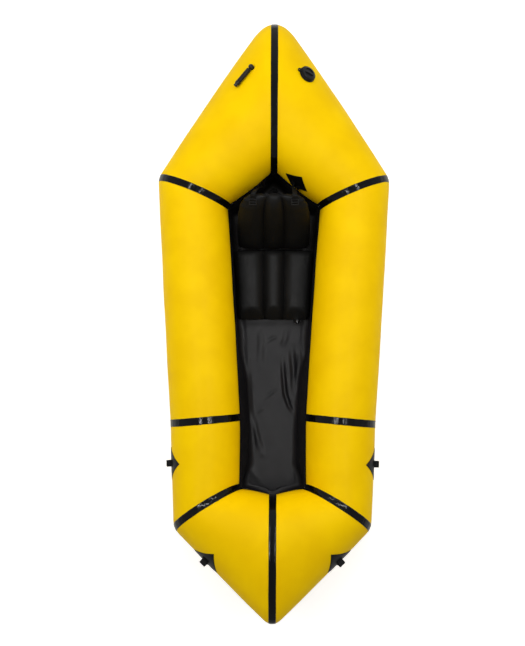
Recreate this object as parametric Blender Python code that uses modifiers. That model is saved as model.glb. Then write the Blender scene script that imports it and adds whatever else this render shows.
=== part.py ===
"""A solo packraft. Eight welded fabric panels make one ring-shaped air tube. A tub floor is taped to its
inner side, and an inflatable seat and backrest lie in the cockpit. The stern carries the main valve and
a mouth tube for topping up, and six patches with webbing loops sit where gear is tied on.

Units are metres. +Z is up, +Y points to the stern, and the underside of the floor lies at z = 0."""

from functools import lru_cache
from math import cos, pi, radians, sin, sqrt

import bmesh
import bpy
from mathutils import Matrix, Vector
from mathutils.bvhtree import BVHTree

# Plan of the tube: where each seam crosses the outer and the inner side, as x and y
STERN_SEAM_OUTER = (0.470, 0.553)
STERN_SEAM_INNER = (0.185, 0.437)
MID_SEAM_OUTER = (0.403, -0.434)
MID_SEAM_INNER = (0.128, -0.409)
BOW_SEAM_OUTER = (0.381, -0.842)
BOW_SEAM_INNER = (0.127, -0.686)
STERN_TIP_Y = 1.160
BOW_TIP_Y = -1.156
STERN_APEX_Y = 0.577
BOW_APEX_Y = -0.719

# Heights of the tube
TUBE_HALF_HEIGHT = 0.140
STERN_HALF_HEIGHT = 0.183
BOW_HALF_HEIGHT = 0.172
STERN_APEX_RISE = 0.020
STERN_TIP_RISE = 0.118
BOW_TIP_RISE = 0.165
STERN_SEAM_LEAN_DEG = 3.6
BOW_SEAM_LEAN_DEG = -11.5
STERN_EGG_SHARE = 0.28
BOW_EGG_SHARE = 0.42

# Fabric, tapes and the gap that touching pieces keep
FABRIC = 0.0012
JOIN_GAP = 0.0003
PANEL_EDGE_SETBACK = 0.0010
TAPE_WIDTH = 0.028
TAPE_THICKNESS = 0.0006
STERN_BULGE = 0.005
SIDE_BULGE = 0.0015
FORE_BULGE = 0.001
BOW_BULGE = 0.002

# Length of the round at each seam, on the outer and the inner side
STERN_CENTRE_ROUND = (0.165, 0.022)
STERN_SEAM_ROUND = (0.030, 0.018)
MID_SEAM_ROUND = (0.030, 0.020)
BOW_SEAM_ROUND = (0.030, 0.018)
BOW_CENTRE_ROUND = (0.048, 0.022)
ROUND_FALL_POWER = 2

# Counts of the tube's mesh
TURN_STEPS = 24
ROUND_STEPS = 8
RUN_STEPS = 12
STERN_STATION_SHARES = (0.12, 0.27, 0.45, 0.70, 0.90)
SIDE_STATION_SHARES = (0.04, 0.25, 0.50, 0.75, 0.96)
FORE_STATION_SHARES = (0.08, 0.35, 0.65, 0.92)
BOW_STATION_SHARES = (0.10, 0.30, 0.55, 0.80, 0.92)
PROBE_SHARE = 0.002

# Floor tub
FLOOR_TAPE_TOP_DEG = 174
FLOOR_TAPE_FOOT_DEG = 194
FLOOR_THICKNESS = 0.0016
FLOOR_EDGE_GAP = 0.0008
FLOOR_CORNER_RADIUS = 0.030
KNEE_WALL_INSET = 0.004
LEG_WALL_INSET = 0.026
KNEE_REACH = 0.110
INSET_FADE = 0.160
SPINE_SETBACK = 0.040
FLOOR_WALL_SHARES = (0.35, 0.75)
FLOOR_CORNER_STEPS = 3

# Seat
SEAT_LENGTH = 0.290
SEAT_THICKNESS = 0.074
SEAT_SIDE_CLEARANCE = 0.009
FOLD_SETBACK = 0.155
FOLD_HEIGHT = 0.055
FOLD_CLEARANCE = 0.0015
FOLD_NIP = 0.0003
SEAT_SCALLOP = 0.012

# Backrest
BACKREST_LENGTH = 0.285
BACKREST_THICKNESS = 0.056
BACKREST_HALF_WIDTH = 0.150
BACKREST_LEAN_DEG = 34
BACKREST_SCALLOP = 0.006
FOLD_STRIP_WIDTH = 0.240
FOLD_STRIP_HEIGHT = 0.022

# Cushion form, as shares of the cushion's own sizes
CUSHION_STATION_SHARES = (0.0, 0.025, 0.09, 0.20, 0.35, 0.50, 0.65, 0.80, 0.91, 0.975, 1.0)
CUSHION_END_SHARES = (0.42, 0.68, 0.90, 0.98, 1.0, 1.0, 1.0, 0.98, 0.90, 0.68, 0.42)
ACROSS_SHARES = (1.0, 0.975, 0.88, 0.72, 0.56, 0.42, 0.335, 0.25, 0.12)
SEAT_WIDTH_SHARES = (0.93, 0.97, 1.0, 0.995, 0.985, 0.98, 0.985, 0.995, 1.0, 0.97, 0.93)
BACKREST_WIDTH_SHARES = (0.90, 0.95, 0.98, 0.985, 0.98, 0.975, 0.95, 0.90, 0.80, 0.68, 0.58)
CHANNEL_EDGE_SHARE = 0.335
CHANNEL_DEPTH_SHARE = 0.42
SIDE_ROUND_POWER = 2.6
SCALLOP_REACH_SHARE = 0.30
CUSHION_WALL = 0.0012

# Main valve, in its own frame: z is the height over the fabric
VALVE_ALONG_SHARE = 0.27
VALVE_TURN_DEG = 52
VALVE_SEAT_GAP = 0.0005
VALVE_FLANGE_RADIUS = 0.0305
VALVE_FLANGE_HEIGHT = 0.0040
VALVE_NECK_RADIUS = 0.0228
VALVE_NECK_DEPTH = 0.0160
VALVE_BORE_RADIUS = 0.0200
VALVE_RUNNING_GAP = 0.0004
VALVE_LIP = 0.0010
INSERT_RIM_RADIUS = 0.0280
INSERT_RIM_HEIGHT = 0.0022
INSERT_BORE_RADIUS = 0.0157
INSERT_DEPTH = 0.0120
INSERT_WEB = 0.0016
INSERT_STEM_HOLE_RADIUS = 0.0026
AIR_HOLE_RADIUS = 0.0040
AIR_HOLE_RING_RADIUS = 0.0095
AIR_HOLE_COUNT = 5
DIAPHRAGM_RADIUS = 0.0150
DIAPHRAGM_THICKNESS = 0.0009
DIAPHRAGM_STEM_RADIUS = 0.0021
DIAPHRAGM_HEAD_RADIUS = 0.0042
DIAPHRAGM_HEAD_HEIGHT = 0.0010
DIAPHRAGM_TRAVEL = 0.0038
CAP_RADIUS = 0.0275
CAP_HEIGHT = 0.0088
CAP_GROOVE_RADIUS = 0.0252
CAP_GROOVE_LOW = 0.0020
CAP_GROOVE_HEIGHT = 0.0030
CAP_PLUG_DEPTH = 0.0046
CAP_CROWN = 0.0012
CAP_RECESS_RADIUS = 0.0200
CAP_RECESS_DEPTH = 0.0048
CAP_BAR_WIDTH = 0.0075
LEASH_RING_WIDTH = 0.0030
LEASH_THICKNESS = 0.0014
LEASH_WIDTH = 0.0070
LEASH_REACH = 0.0130
LEASH_TURN_DEG = 40
LEASH_STEPS = 10

# Mouth tube
MOUTH_ALONG_SHARE = 0.18
MOUTH_TURN_DEG = 60
MOUTH_AIM_ALONG_SHARE = 0.34
MOUTH_AIM_TURN_DEG = 58
MOUTH_FOOT_RADIUS = 0.0190
MOUTH_FOOT_THICKNESS = 0.0014
MOUTH_KNUCKLE_RADIUS = 0.0105
MOUTH_AXIS_HEIGHT = 0.0112
MOUTH_TUBE_RADIUS = 0.0085
MOUTH_TUBE_LENGTH = 0.062
MOUTH_COLLAR_RADIUS = 0.0098
MOUTH_PIECE_LENGTH = 0.022
MOUTH_LIP_RADIUS = 0.0070
MOUTH_BORE_RADIUS = 0.0040
MOUTH_GAP = 0.0005

# Twist valves of the seat and the backrest
TWIST_BASE_RADIUS = 0.0120
TWIST_BASE_HEIGHT = 0.0024
TWIST_NECK_RADIUS = 0.0074
TWIST_NECK_HEIGHT = 0.0092
TWIST_CAP_RADIUS = 0.0096
TWIST_CAP_TOP = 0.0030
TWIST_GAP = 0.0005
SEAT_VALVE_X = 0.098
SEAT_VALVE_Z = 0.030
BACK_VALVE_X = 0.085
BACK_VALVE_ALONG = 0.100

# Patches and webbing loops
PATCH_THICKNESS = 0.0008
WEBBING_WIDTH = 0.025
WEBBING_THICKNESS = 0.0016
LOOP_HEIGHT = 0.017
LOOP_HALF_SPAN = 0.0085
LOOP_FOOT = 0.014
LOOP_ARC_STEPS = 9
LOOP_FOOT_STEPS = 2
SIDE_PATCH_HALF = (0.062, 0.078)
BOW_PATCH_HALF = (0.062, 0.074)
HIGH_PATCH_HALF = (0.056, 0.044)
LOW_PATCH_HALF = (0.045, 0.027)
STERN_LOOP_DROP = 0.018
STERN_LOOP_FOOT_RADIUS = 3.0

# Backrest straps
STRAP_WIDTH = 0.020
STRAP_THICKNESS = 0.0014
STRAP_X = 0.082
STRAP_ALONG_SHARE = 0.93
STRAP_RISE = 0.040
LOW_STRAP_RISE = 0.070
STRAP_STAND_OFF = 0.020
STRAP_STEPS = 8
BUCKLE_HALF_WIDTH = 0.0150
BUCKLE_HALF_LENGTH = 0.0120
BUCKLE_BAR = 0.0032
BUCKLE_LIFT = 0.0006

# Counts of the small turned pieces
ROUND_SEGMENTS = 20
SMALL_SEGMENTS = 16

UP = Vector((0, 0, 1))
MERGE = 0.00005

TAPE_LIFT = JOIN_GAP
FLOOR_TAPE_LIFT = TAPE_LIFT + TAPE_THICKNESS + JOIN_GAP
OVER_TAPE_LIFT = FLOOR_TAPE_LIFT + TAPE_THICKNESS + JOIN_GAP
LOOP_LIFT = PATCH_THICKNESS + JOIN_GAP + WEBBING_THICKNESS / 2
LOOP_TOP = LOOP_LIFT + LOOP_HEIGHT * cos(pi / (LOOP_ARC_STEPS + LOOP_ARC_STEPS)) + WEBBING_THICKNESS / 2
TUBE_AXIS_Z = TUBE_HALF_HEIGHT + SIDE_BULGE + FLOOR_TAPE_LIFT


# The collections and the materials
def clear_scene():
    for old in list(bpy.data.objects):
        bpy.data.objects.remove(old, do_unlink=True)


def new_collection(name):
    collection = bpy.data.collections.new(name)
    bpy.context.scene.collection.children.link(collection)
    return collection


def new_material(name, colour, roughness, metallic=0.0):
    material = bpy.data.materials.new(name)
    material.use_nodes = True
    shader = material.node_tree.nodes["Principled BSDF"]
    shader.inputs["Base Color"].default_value = (*colour, 1.0)
    shader.inputs["Roughness"].default_value = roughness
    shader.inputs["Metallic"].default_value = metallic
    return material


clear_scene()
raft = new_collection("packraft")
cutters = new_collection("cutters")


def mesh_object(name, verts, faces, finish, edges=(), collection=raft):
    """A mesh object with a material of its own."""
    mesh = bpy.data.meshes.new(name)
    mesh.from_pydata([tuple(v) for v in verts], list(edges), list(faces))
    obj = bpy.data.objects.new(name, mesh)
    collection.objects.link(obj)
    if finish:
        mesh.materials.append(new_material(name, *finish))
    return obj


YELLOW_FABRIC = ((0.93, 0.60, 0.01), 0.38)
BLACK_TAPE = ((0.012, 0.012, 0.013), 0.22)
FLOOR_FABRIC = ((0.035, 0.035, 0.037), 0.55)
SEAT_FABRIC = ((0.020, 0.020, 0.021), 0.42)
BLACK_WEBBING = ((0.015, 0.015, 0.016), 0.75)
BLACK_MOULDING = ((0.018, 0.018, 0.019), 0.35)
BLACK_RUBBER = ((0.022, 0.022, 0.023), 0.60)


def add_wall(obj, thickness, outward=False):
    """Gives an open surface its thickness, on the outer or the inner side."""
    wall = obj.modifiers.new("wall", 'SOLIDIFY')
    wall.thickness = thickness
    wall.offset = 1 if outward else -1
    wall.use_even_offset = True
    return obj


def add_mirror(obj):
    mirror = obj.modifiers.new("mirror", 'MIRROR')
    mirror.use_axis = (True, False, False)
    mirror.use_mirror_merge = True
    mirror.merge_threshold = MERGE
    return obj


def smooth(obj, angle_deg=50):
    """Smooth shading, kept sharp where faces meet at more than this angle."""
    obj.data.shade_smooth()
    obj.data.set_sharp_from_angle(angle=radians(angle_deg))
    return obj


# The tube is a loft through five oval rings: stern centre, stern seam, mid seam, bow seam, bow centre
def ring(outer, inner, half_height, lean_deg=0, egg_share=0.0):
    across = (outer - inner).normalized()
    upright = (UP - across * across.z).normalized()
    lean = radians(lean_deg)
    return {
        "centre": (outer + inner) / 2,
        "across": across,
        "up": upright * cos(lean) + across.cross(upright) * sin(lean),
        "half_width": (outer - inner).length / 2,
        "half_height": half_height,
        "egg_share": egg_share,
    }


def ring_point(oval, turn):
    """A point of an oval ring: turn 0 is its outer side, a quarter turn its top."""
    squeeze = 1 - oval["egg_share"] * cos(turn)
    sideways = oval["across"] * (oval["half_width"] * cos(turn))
    upwards = oval["up"] * (oval["half_height"] * sin(turn) * squeeze)
    return oval["centre"] + sideways + upwards


def seam_ring(outer_xy, inner_xy, lean_deg=0):
    outer = Vector((*outer_xy, TUBE_AXIS_Z))
    inner = Vector((*inner_xy, TUBE_AXIS_Z))
    return ring(outer, inner, TUBE_HALF_HEIGHT, lean_deg)


def tip_corner(tip_y, tip_z, seam_outer_xy, tip_round):
    """The unrounded corner whose rounded tip lies at tip_y: a few passes settle it."""
    seam_outer = Vector((*seam_outer_xy, TUBE_AXIS_Z))
    corner = Vector((0, tip_y, tip_z))
    for _ in range(ROUND_STEPS):
        towards_seam = (seam_outer - corner).normalized()
        corner.y = tip_y - towards_seam.y * tip_round / 2
    return corner


def centre_ring(apex_y, apex_z, tip_y, tip_z, seam_outer_xy, tip_round, half_height, egg_share):
    apex = Vector((0, apex_y, apex_z))
    corner = tip_corner(tip_y, tip_z, seam_outer_xy, tip_round)
    return ring(corner, apex, half_height, egg_share=egg_share)


RINGS = (
    centre_ring(STERN_APEX_Y, TUBE_AXIS_Z + STERN_APEX_RISE, STERN_TIP_Y, TUBE_AXIS_Z + STERN_TIP_RISE,
                STERN_SEAM_OUTER, STERN_CENTRE_ROUND[0], STERN_HALF_HEIGHT, STERN_EGG_SHARE),
    seam_ring(STERN_SEAM_OUTER, STERN_SEAM_INNER, STERN_SEAM_LEAN_DEG),
    seam_ring(MID_SEAM_OUTER, MID_SEAM_INNER),
    seam_ring(BOW_SEAM_OUTER, BOW_SEAM_INNER, BOW_SEAM_LEAN_DEG),
    centre_ring(BOW_APEX_Y, TUBE_AXIS_Z, BOW_TIP_Y, TUBE_AXIS_Z + BOW_TIP_RISE,
                BOW_SEAM_OUTER, BOW_CENTRE_ROUND[0], BOW_HALF_HEIGHT, BOW_EGG_SHARE),
)
ROUNDS = (STERN_CENTRE_ROUND, STERN_SEAM_ROUND, MID_SEAM_ROUND, BOW_SEAM_ROUND, BOW_CENTRE_ROUND)
PANEL_NAMES = ("stern_panel", "side_panel", "fore_panel", "bow_panel")
PANEL_BULGES = (STERN_BULGE, SIDE_BULGE, FORE_BULGE, BOW_BULGE)
PANEL_STATION_SHARES = (STERN_STATION_SHARES, SIDE_STATION_SHARES, FORE_STATION_SHARES,
                        BOW_STATION_SHARES)


def mirrored(point):
    return Vector((-point.x, point.y, point.z))


def round_length(seam, turn):
    outer, inner = ROUNDS[seam]
    return inner + (outer - inner) * ((1 + cos(turn)) / 2) ** ROUND_FALL_POWER


def bezier(start, handle, end, t):
    return start * (1 - t) ** 2 + handle * (2 * t * (1 - t)) + end * t ** 2


@lru_cache(maxsize=None)
def panel_path(panel, turn):
    """Points along one line of a panel, from seam to seam, with the distance run at each."""
    corners = [ring_point(oval, turn) for oval in RINGS]
    corners = [mirrored(corners[1])] + corners + [mirrored(corners[-2])]
    before, start, end, after = corners[panel:panel + 4]
    along = (end - start).normalized()
    start_round = round_length(panel, turn)
    end_round = round_length(panel + 1, turn)
    start_in = start + (before - start).normalized() * start_round
    start_out = start + along * start_round
    end_in = end - along * end_round
    end_out = end + (after - end).normalized() * end_round
    first, second = RINGS[panel], RINGS[panel + 1]
    outward = (first["across"] + second["across"]) * cos(turn) + (first["up"] + second["up"]) * sin(turn)
    outward = (outward - along * outward.dot(along)).normalized()
    points = [bezier(start_in, start, start_out, (1 + i / ROUND_STEPS) / 2) for i in range(ROUND_STEPS)]
    for i in range(RUN_STEPS + 1):
        share = i / RUN_STEPS
        swell = PANEL_BULGES[panel] * 4 * share * (1 - share)
        points.append(start_out.lerp(end_in, share) + outward * swell)
    points += [bezier(end_in, end, end_out, (i + 1) / ROUND_STEPS / 2) for i in range(ROUND_STEPS)]
    runs = [0.0]
    for a, b in zip(points, points[1:]):
        runs.append(runs[-1] + (b - a).length)
    return points, runs


def path_length(panel, turn):
    return panel_path(panel, turn)[1][-1]


def hull_point(panel, turn, share):
    """A point of the right-hand tube at this share of the panel's line."""
    points, runs = panel_path(panel, turn)
    distance = share * runs[-1]
    last = len(points) - 1
    i = next((n for n in range(1, last) if runs[n] >= distance), last)
    step = (distance - runs[i - 1]) / (runs[i] - runs[i - 1])
    return points[i - 1].lerp(points[i], step)


def hull_frame(panel, turn, share):
    """Point, outward normal, direction towards the bow, and direction round the tube."""
    low = max(share - PROBE_SHARE, 0)
    high = min(share + PROBE_SHARE, 1)
    forward = (hull_point(panel, turn, high) - hull_point(panel, turn, low)).normalized()
    around = hull_point(panel, turn + PROBE_SHARE, share) - hull_point(panel, turn - PROBE_SHARE, share)
    normal = around.cross(forward).normalized()
    return hull_point(panel, turn, share), normal, forward, normal.cross(forward) * -1


def lifted(panel, turn, share, lift):
    point, normal, _, _ = hull_frame(panel, turn, share)
    return point + normal * lift


def on_centre(points):
    """Puts a row of points exactly on the centre plane."""
    return [Vector((0, p.y, p.z)) for p in points]


def turns_around():
    """Angles of the tube's lines: even steps, with the floor tape's edges and middle among them."""
    top, foot = radians(FLOOR_TAPE_TOP_DEG), radians(FLOOR_TAPE_FOOT_DEG)
    steps = TURN_STEPS - 2
    rest = 2 * pi - (foot - top)
    return [(top + foot) / 2] + [foot + rest * i / steps for i in range(steps + 1)]


TURNS = turns_around()


def station_distances(panel, turn, ends):
    """Distances from a panel's first seam: its edges, the tape's edges, and shares of the rest."""
    length = path_length(panel, turn)
    edge = TAPE_WIDTH / 2
    middle = length - TAPE_WIDTH
    inner = [edge + share * middle for share in PANEL_STATION_SHARES[panel]]
    return [d / length for d in [ends, edge] + inner + [length - edge, length - ends]]


def band_rows(panel, turns, lift, ends):
    """Rows of points round the tube, one for each station along a panel."""
    columns = []
    for turn in turns:
        shares = station_distances(panel, turn, ends)
        if lift:
            columns.append([lifted(panel, turn, share, lift) for share in shares])
        else:
            columns.append([hull_point(panel, turn, share) for share in shares])
    return [list(row) for row in zip(*columns)]


def grid_faces(row_count, row_length, closed, flip):
    """Two triangles for each cell, all split the same way, so that layers over each other stay parallel."""
    faces = []
    wrap = row_length if closed else row_length - 1
    for i in range(row_count - 1):
        for j in range(wrap):
            k = (j + 1) % row_length
            near, far = i * row_length, (i + 1) * row_length
            for face in ((near + j, near + k, far + k), (near + j, far + k, far + j)):
                faces.append(face[::-1] if flip else face)
    return faces


def grid_object(name, rows, finish, closed=True, side=1):
    """A surface through rows of points; side -1 makes its left-hand twin."""
    verts = [Vector((side * p.x, p.y, p.z)) for row in rows for p in row]
    faces = grid_faces(len(rows), len(rows[0]), closed, side < 0)
    return smooth(mesh_object(name, verts, faces, finish))


SIDES = (("left", -1), ("right", 1))

# Where each patch sits: name, side, panel, degrees round the tube, share of the panel's length, half
# diagonals, skew share of the diamond, its loop's turn on it, the loop's shift down the patch, the radius
# under its feet and the patch's height over the panel. The stern's left one lies lower, on the floor's tape.
LOOP_PLACES = (
    ("side_{}_left", -1, 2, 14, 0.385, SIDE_PATCH_HALF, 0, 0, 0, TUBE_HALF_HEIGHT, JOIN_GAP),
    ("side_{}_right", 1, 2, 14, 0.385, SIDE_PATCH_HALF, 0, 0, 0, TUBE_HALF_HEIGHT, JOIN_GAP),
    ("bow_{}_left", -1, 3, 14, 0.345, BOW_PATCH_HALF, 0.35, 0, 0, TUBE_HALF_HEIGHT, JOIN_GAP),
    ("bow_{}_right", 1, 3, 14, 0.345, BOW_PATCH_HALF, 0.35, 0, 0, TUBE_HALF_HEIGHT, JOIN_GAP),
    ("stern_{}_left", -1, 0, 184, 0.28, LOW_PATCH_HALF, 0, 90, 0, STERN_LOOP_FOOT_RADIUS, OVER_TAPE_LIFT),
    ("stern_{}_right", 1, 0, 156.8, 0.457, HIGH_PATCH_HALF, 0, 90, STERN_LOOP_DROP, STERN_LOOP_FOOT_RADIUS,
     JOIN_GAP),
)


def make_panels():
    panels = {}
    for panel, name in enumerate(PANEL_NAMES):
        rows = band_rows(panel, TURNS, 0, PANEL_EDGE_SETBACK)
        for word, side in SIDES:
            obj = grid_object(f"{name}_{word}", rows, YELLOW_FABRIC, side=side)
            panels[obj.name] = add_wall(obj, FABRIC)
    return panels


def seam_rows(seam):
    """Three rows of a tape over the seam between two panels."""
    rows = []
    for panel, place in ((seam - 1, -1), (seam, 0), (seam, 1)):
        row = []
        for turn in TURNS:
            length = path_length(panel, turn)
            distance = TAPE_WIDTH / 2 if place else 0
            share = (length - distance) / length if place < 0 else distance / length
            row.append(lifted(panel, turn, share, TAPE_LIFT))
        rows.append(row)
    return rows


def make_seam_tapes():
    for seam, name in ((1, "stern_seam_tape"), (2, "mid_seam_tape"), (3, "bow_seam_tape")):
        rows = seam_rows(seam)
        for word, side in SIDES:
            add_wall(grid_object(f"{name}_{word}", rows, BLACK_TAPE, side=side), TAPE_THICKNESS, True)


def centre_tape(name, panel, at_end):
    """Half a tape on the right-hand side of the centre plane, mirrored to the left."""
    rows = []
    for distance in (0, TAPE_WIDTH / 2):
        row = []
        for turn in TURNS:
            length = path_length(panel, turn)
            share = (length - distance) / length if at_end else distance / length
            row.append(lifted(panel, turn, share, TAPE_LIFT))
        rows.append(row)
    rows[0] = on_centre(rows[0])
    if at_end:
        rows.reverse()
    tape = grid_object(name, rows, BLACK_TAPE)
    add_mirror(tape)
    add_wall(tape, TAPE_THICKNESS, True)


def loop_rows(turns, lift):
    """Rows along the whole inner side of the right-hand half, from stern centre to bow centre."""
    rows = []
    for panel in range(len(PANEL_NAMES)):
        panel_rows = band_rows(panel, turns, lift, 0)
        rows += panel_rows if panel == 0 else panel_rows[1:]
    rows[0] = on_centre(rows[0])
    rows[-1] = on_centre(rows[-1])
    return rows


def make_floor_tape():
    top, foot = radians(FLOOR_TAPE_TOP_DEG), radians(FLOOR_TAPE_FOOT_DEG)
    rows = loop_rows((top, (top + foot) / 2, foot), FLOOR_TAPE_LIFT)
    tape = grid_object("floor_seam_tape", rows, BLACK_TAPE, closed=False)
    add_mirror(tape)
    add_wall(tape, TAPE_THICKNESS, True)


def fade(value, start, end):
    """0 before start, 1 after end, smooth between."""
    share = min(max((value - start) / (end - start), 0), 1)
    return share * share * (3 - 2 * share)


FOLD_Y = STERN_SEAM_INNER[1] - FOLD_SETBACK
SEAT_FRONT_Y = FOLD_Y - FOLD_CLEARANCE - SEAT_LENGTH


def wall_inset(y):
    """How far the tub's wall has moved in where it meets the floor: more from the knees to the bow."""
    knee_y = SEAT_FRONT_Y - KNEE_REACH
    forward = 1 - fade(y, knee_y - INSET_FADE, knee_y)
    return KNEE_WALL_INSET + (LEG_WALL_INSET - KNEE_WALL_INSET) * forward


def towards_spine(point):
    """Level direction from the tub's edge to the nearest place on a spine along its middle."""
    spine_stern = STERN_SEAM_INNER[1] - SPINE_SETBACK
    spine_bow = BOW_SEAM_INNER[1] + SPINE_SETBACK
    nearest = min(max(point.y, spine_bow), spine_stern)
    return Vector((-point.x, nearest - point.y, 0)).normalized()


def floor_columns():
    """Each column runs down the tub's wall from the tape, round the corner and to the centre line."""
    foot = radians(FLOOR_TAPE_FOOT_DEG)
    gap_turn = FLOOR_EDGE_GAP / TUBE_HALF_HEIGHT
    columns = []
    for (top,) in loop_rows((foot + gap_turn,), FLOOR_TAPE_LIFT):
        inward = towards_spine(top)
        inset = wall_inset(top.y)
        column = []
        for share in (0.0,) + FLOOR_WALL_SHARES:
            height = top.z + (FLOOR_CORNER_RADIUS - top.z) * share
            column.append(Vector((top.x, top.y, height)) + inward * (inset * share))
        centre = Vector((top.x, top.y, FLOOR_CORNER_RADIUS)) + inward * (inset + FLOOR_CORNER_RADIUS)
        for i in range(FLOOR_CORNER_STEPS + 1):
            bend = pi / 2 * i / FLOOR_CORNER_STEPS
            column.append(centre - (inward * cos(bend) + UP * sin(bend)) * FLOOR_CORNER_RADIUS)
        column.append(Vector((0, column[-1].y, 0)))
        columns.append(column)
    columns[0] = on_centre(columns[0])
    columns[-1] = on_centre(columns[-1])
    return columns


def make_floor_sheet():
    columns = floor_columns()
    rows = [list(row) for row in zip(*columns)]
    sheet = grid_object("floor_sheet", rows, FLOOR_FABRIC, closed=False)
    bm = bmesh.new()
    bm.from_mesh(sheet.data)
    bmesh.ops.remove_doubles(bm, verts=bm.verts, dist=MERGE)
    bmesh.ops.recalc_face_normals(bm, faces=bm.faces)
    if sum(face.normal.z * face.calc_area() for face in bm.faces) > 0:
        bmesh.ops.reverse_faces(bm, faces=bm.faces)
    bm.to_mesh(sheet.data)
    bm.free()
    add_mirror(sheet)
    add_wall(sheet, FLOOR_THICKNESS)


# Cushions: a loft of closed sections with three channels, drawn in at the sides and ends
def channel_arch(across):
    """1 along a channel's crest, 0 in the groove between two channels."""
    beyond = abs(across)
    if beyond <= CHANNEL_EDGE_SHARE:
        place = beyond / CHANNEL_EDGE_SHARE
    else:
        middle = (1 + CHANNEL_EDGE_SHARE) / 2
        place = max((middle - beyond) / (middle - CHANNEL_EDGE_SHARE), 0)
    return sqrt(max(1 - place * place, 0))


def across_steps():
    """Places from the right side to the left side of a section."""
    right = list(ACROSS_SHARES)
    return right + [0.0] + [-share for share in reversed(right)]


def section_point(across, upper, half_width, half_thickness, channels):
    side_round = max(1 - abs(across) ** SIDE_ROUND_POWER, 0) ** (1 / SIDE_ROUND_POWER)
    depth = CHANNEL_DEPTH_SHARE if channels else 0
    height = half_thickness * side_round * (1 - depth * (1 - channel_arch(across)))
    return half_width * across, height if upper else -height


def cushion_rows(length, half_widths, thickness, width_shares, scallop):
    """Sections from the cushion's fold end to its far end; local y runs along it, z is its thickness."""
    steps = across_steps()
    rows = []
    for share, end_share, width_share in zip(CUSHION_STATION_SHARES, CUSHION_END_SHARES, width_shares):
        half_width = (half_widths[0] + (half_widths[1] - half_widths[0]) * share) * width_share
        half_thickness = thickness / 2 * end_share
        reach = max(share - (1 - SCALLOP_REACH_SHARE), 0) / SCALLOP_REACH_SHARE
        row = []
        for upper, places in ((True, steps), (False, steps[-2:0:-1])):
            for across in places:
                x, z = section_point(across, upper, half_width, half_thickness, upper)
                y = length * share - scallop * reach * reach * (1 - channel_arch(across))
                row.append(Vector((x, y, z)))
        rows.append(row)
    return rows


def cushion_object(name, rows, finish, opening, direction):
    """Closes the loft's ends, then opens the one face under the valve and gives the skin its wall."""
    width = len(rows[0])
    verts = [p for row in rows for p in row]
    faces = grid_faces(len(rows), width, True, False)
    last = (len(rows) - 1) * width
    for start, flip in ((0, True), (last, False)):
        half = width // 2
        for j in range(half):
            a, b = start + j, start + j + 1
            c, d = start + (width - j - 1) % width, start + (width - j) % width
            face = [b, a, d, c] if flip else [a, b, c, d]
            unique = [v for n, v in enumerate(face) if v not in face[:n]]
            if len(unique) > 2:
                faces.append(tuple(unique))
    cushion = mesh_object(name, verts, faces, finish)
    bm = bmesh.new()
    bm.from_mesh(cushion.data)
    bmesh.ops.recalc_face_normals(bm, faces=bm.faces)
    tree = BVHTree.FromBMesh(bm)
    place, facing, index, _ = tree.ray_cast(opening - direction, direction)
    bm.faces.ensure_lookup_table()
    bmesh.ops.delete(bm, geom=[bm.faces[index]], context='FACES_ONLY')
    bm.to_mesh(cushion.data)
    bm.free()
    smooth(cushion)
    add_wall(cushion, CUSHION_WALL)
    return cushion, place, facing


def cockpit_half_width(y):
    """Half the width between the tubes at y, between the stern and the mid seam."""
    near, far = Vector(MID_SEAM_INNER), Vector(STERN_SEAM_INNER)
    share = (y - near.y) / (far.y - near.y)
    return near.x + (far.x - near.x) * share


def turned(name, profile, finish, matrix, segments=ROUND_SEGMENTS, closed=False, collection=raft):
    """Turns a profile of radius and height round its z axis and places it."""
    verts = [Vector((r, 0, z)) for r, z in profile]
    edges = [(i, i + 1) for i in range(len(verts) - 1)]
    if closed:
        edges.append((len(verts) - 1, 0))
    obj = mesh_object(name, verts, (), finish, edges=edges, collection=collection)
    screw = obj.modifiers.new("turn", 'SCREW')
    screw.steps = segments
    screw.render_steps = segments
    screw.use_merge_vertices = True
    screw.merge_threshold = MERGE
    obj.matrix_world = matrix
    return obj


def frame_matrix(origin, normal, forward):
    """A frame at origin with z along normal and x along forward."""
    z = normal.normalized()
    x = (forward - z * forward.dot(z)).normalized()
    y = z.cross(x)
    return Matrix.Translation(origin) @ Matrix((x, y, z)).transposed().to_4x4()


def twist_valve(name, matrix):
    """A small twist valve: a base with a neck, and the cap that turns on it."""
    neck_top = TWIST_BASE_HEIGHT + TWIST_NECK_HEIGHT
    base = [
        (0, neck_top), (TWIST_NECK_RADIUS, neck_top), (TWIST_NECK_RADIUS, TWIST_BASE_HEIGHT),
        (TWIST_BASE_RADIUS, TWIST_BASE_HEIGHT), (TWIST_BASE_RADIUS, JOIN_GAP), (0, JOIN_GAP),
    ]
    bore = TWIST_NECK_RADIUS + TWIST_GAP
    skirt = TWIST_BASE_HEIGHT + TWIST_GAP
    inside = neck_top + TWIST_GAP
    top = inside + TWIST_CAP_TOP
    cap = [
        (0, top), (bore, top), (TWIST_CAP_RADIUS, inside + TWIST_GAP), (TWIST_CAP_RADIUS, skirt),
        (bore, skirt), (bore, inside), (0, inside),
    ]
    turned(f"{name}_base", base, BLACK_MOULDING, matrix, SMALL_SEGMENTS)
    turned(f"{name}_cap", cap, BLACK_MOULDING, matrix, SMALL_SEGMENTS)


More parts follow.
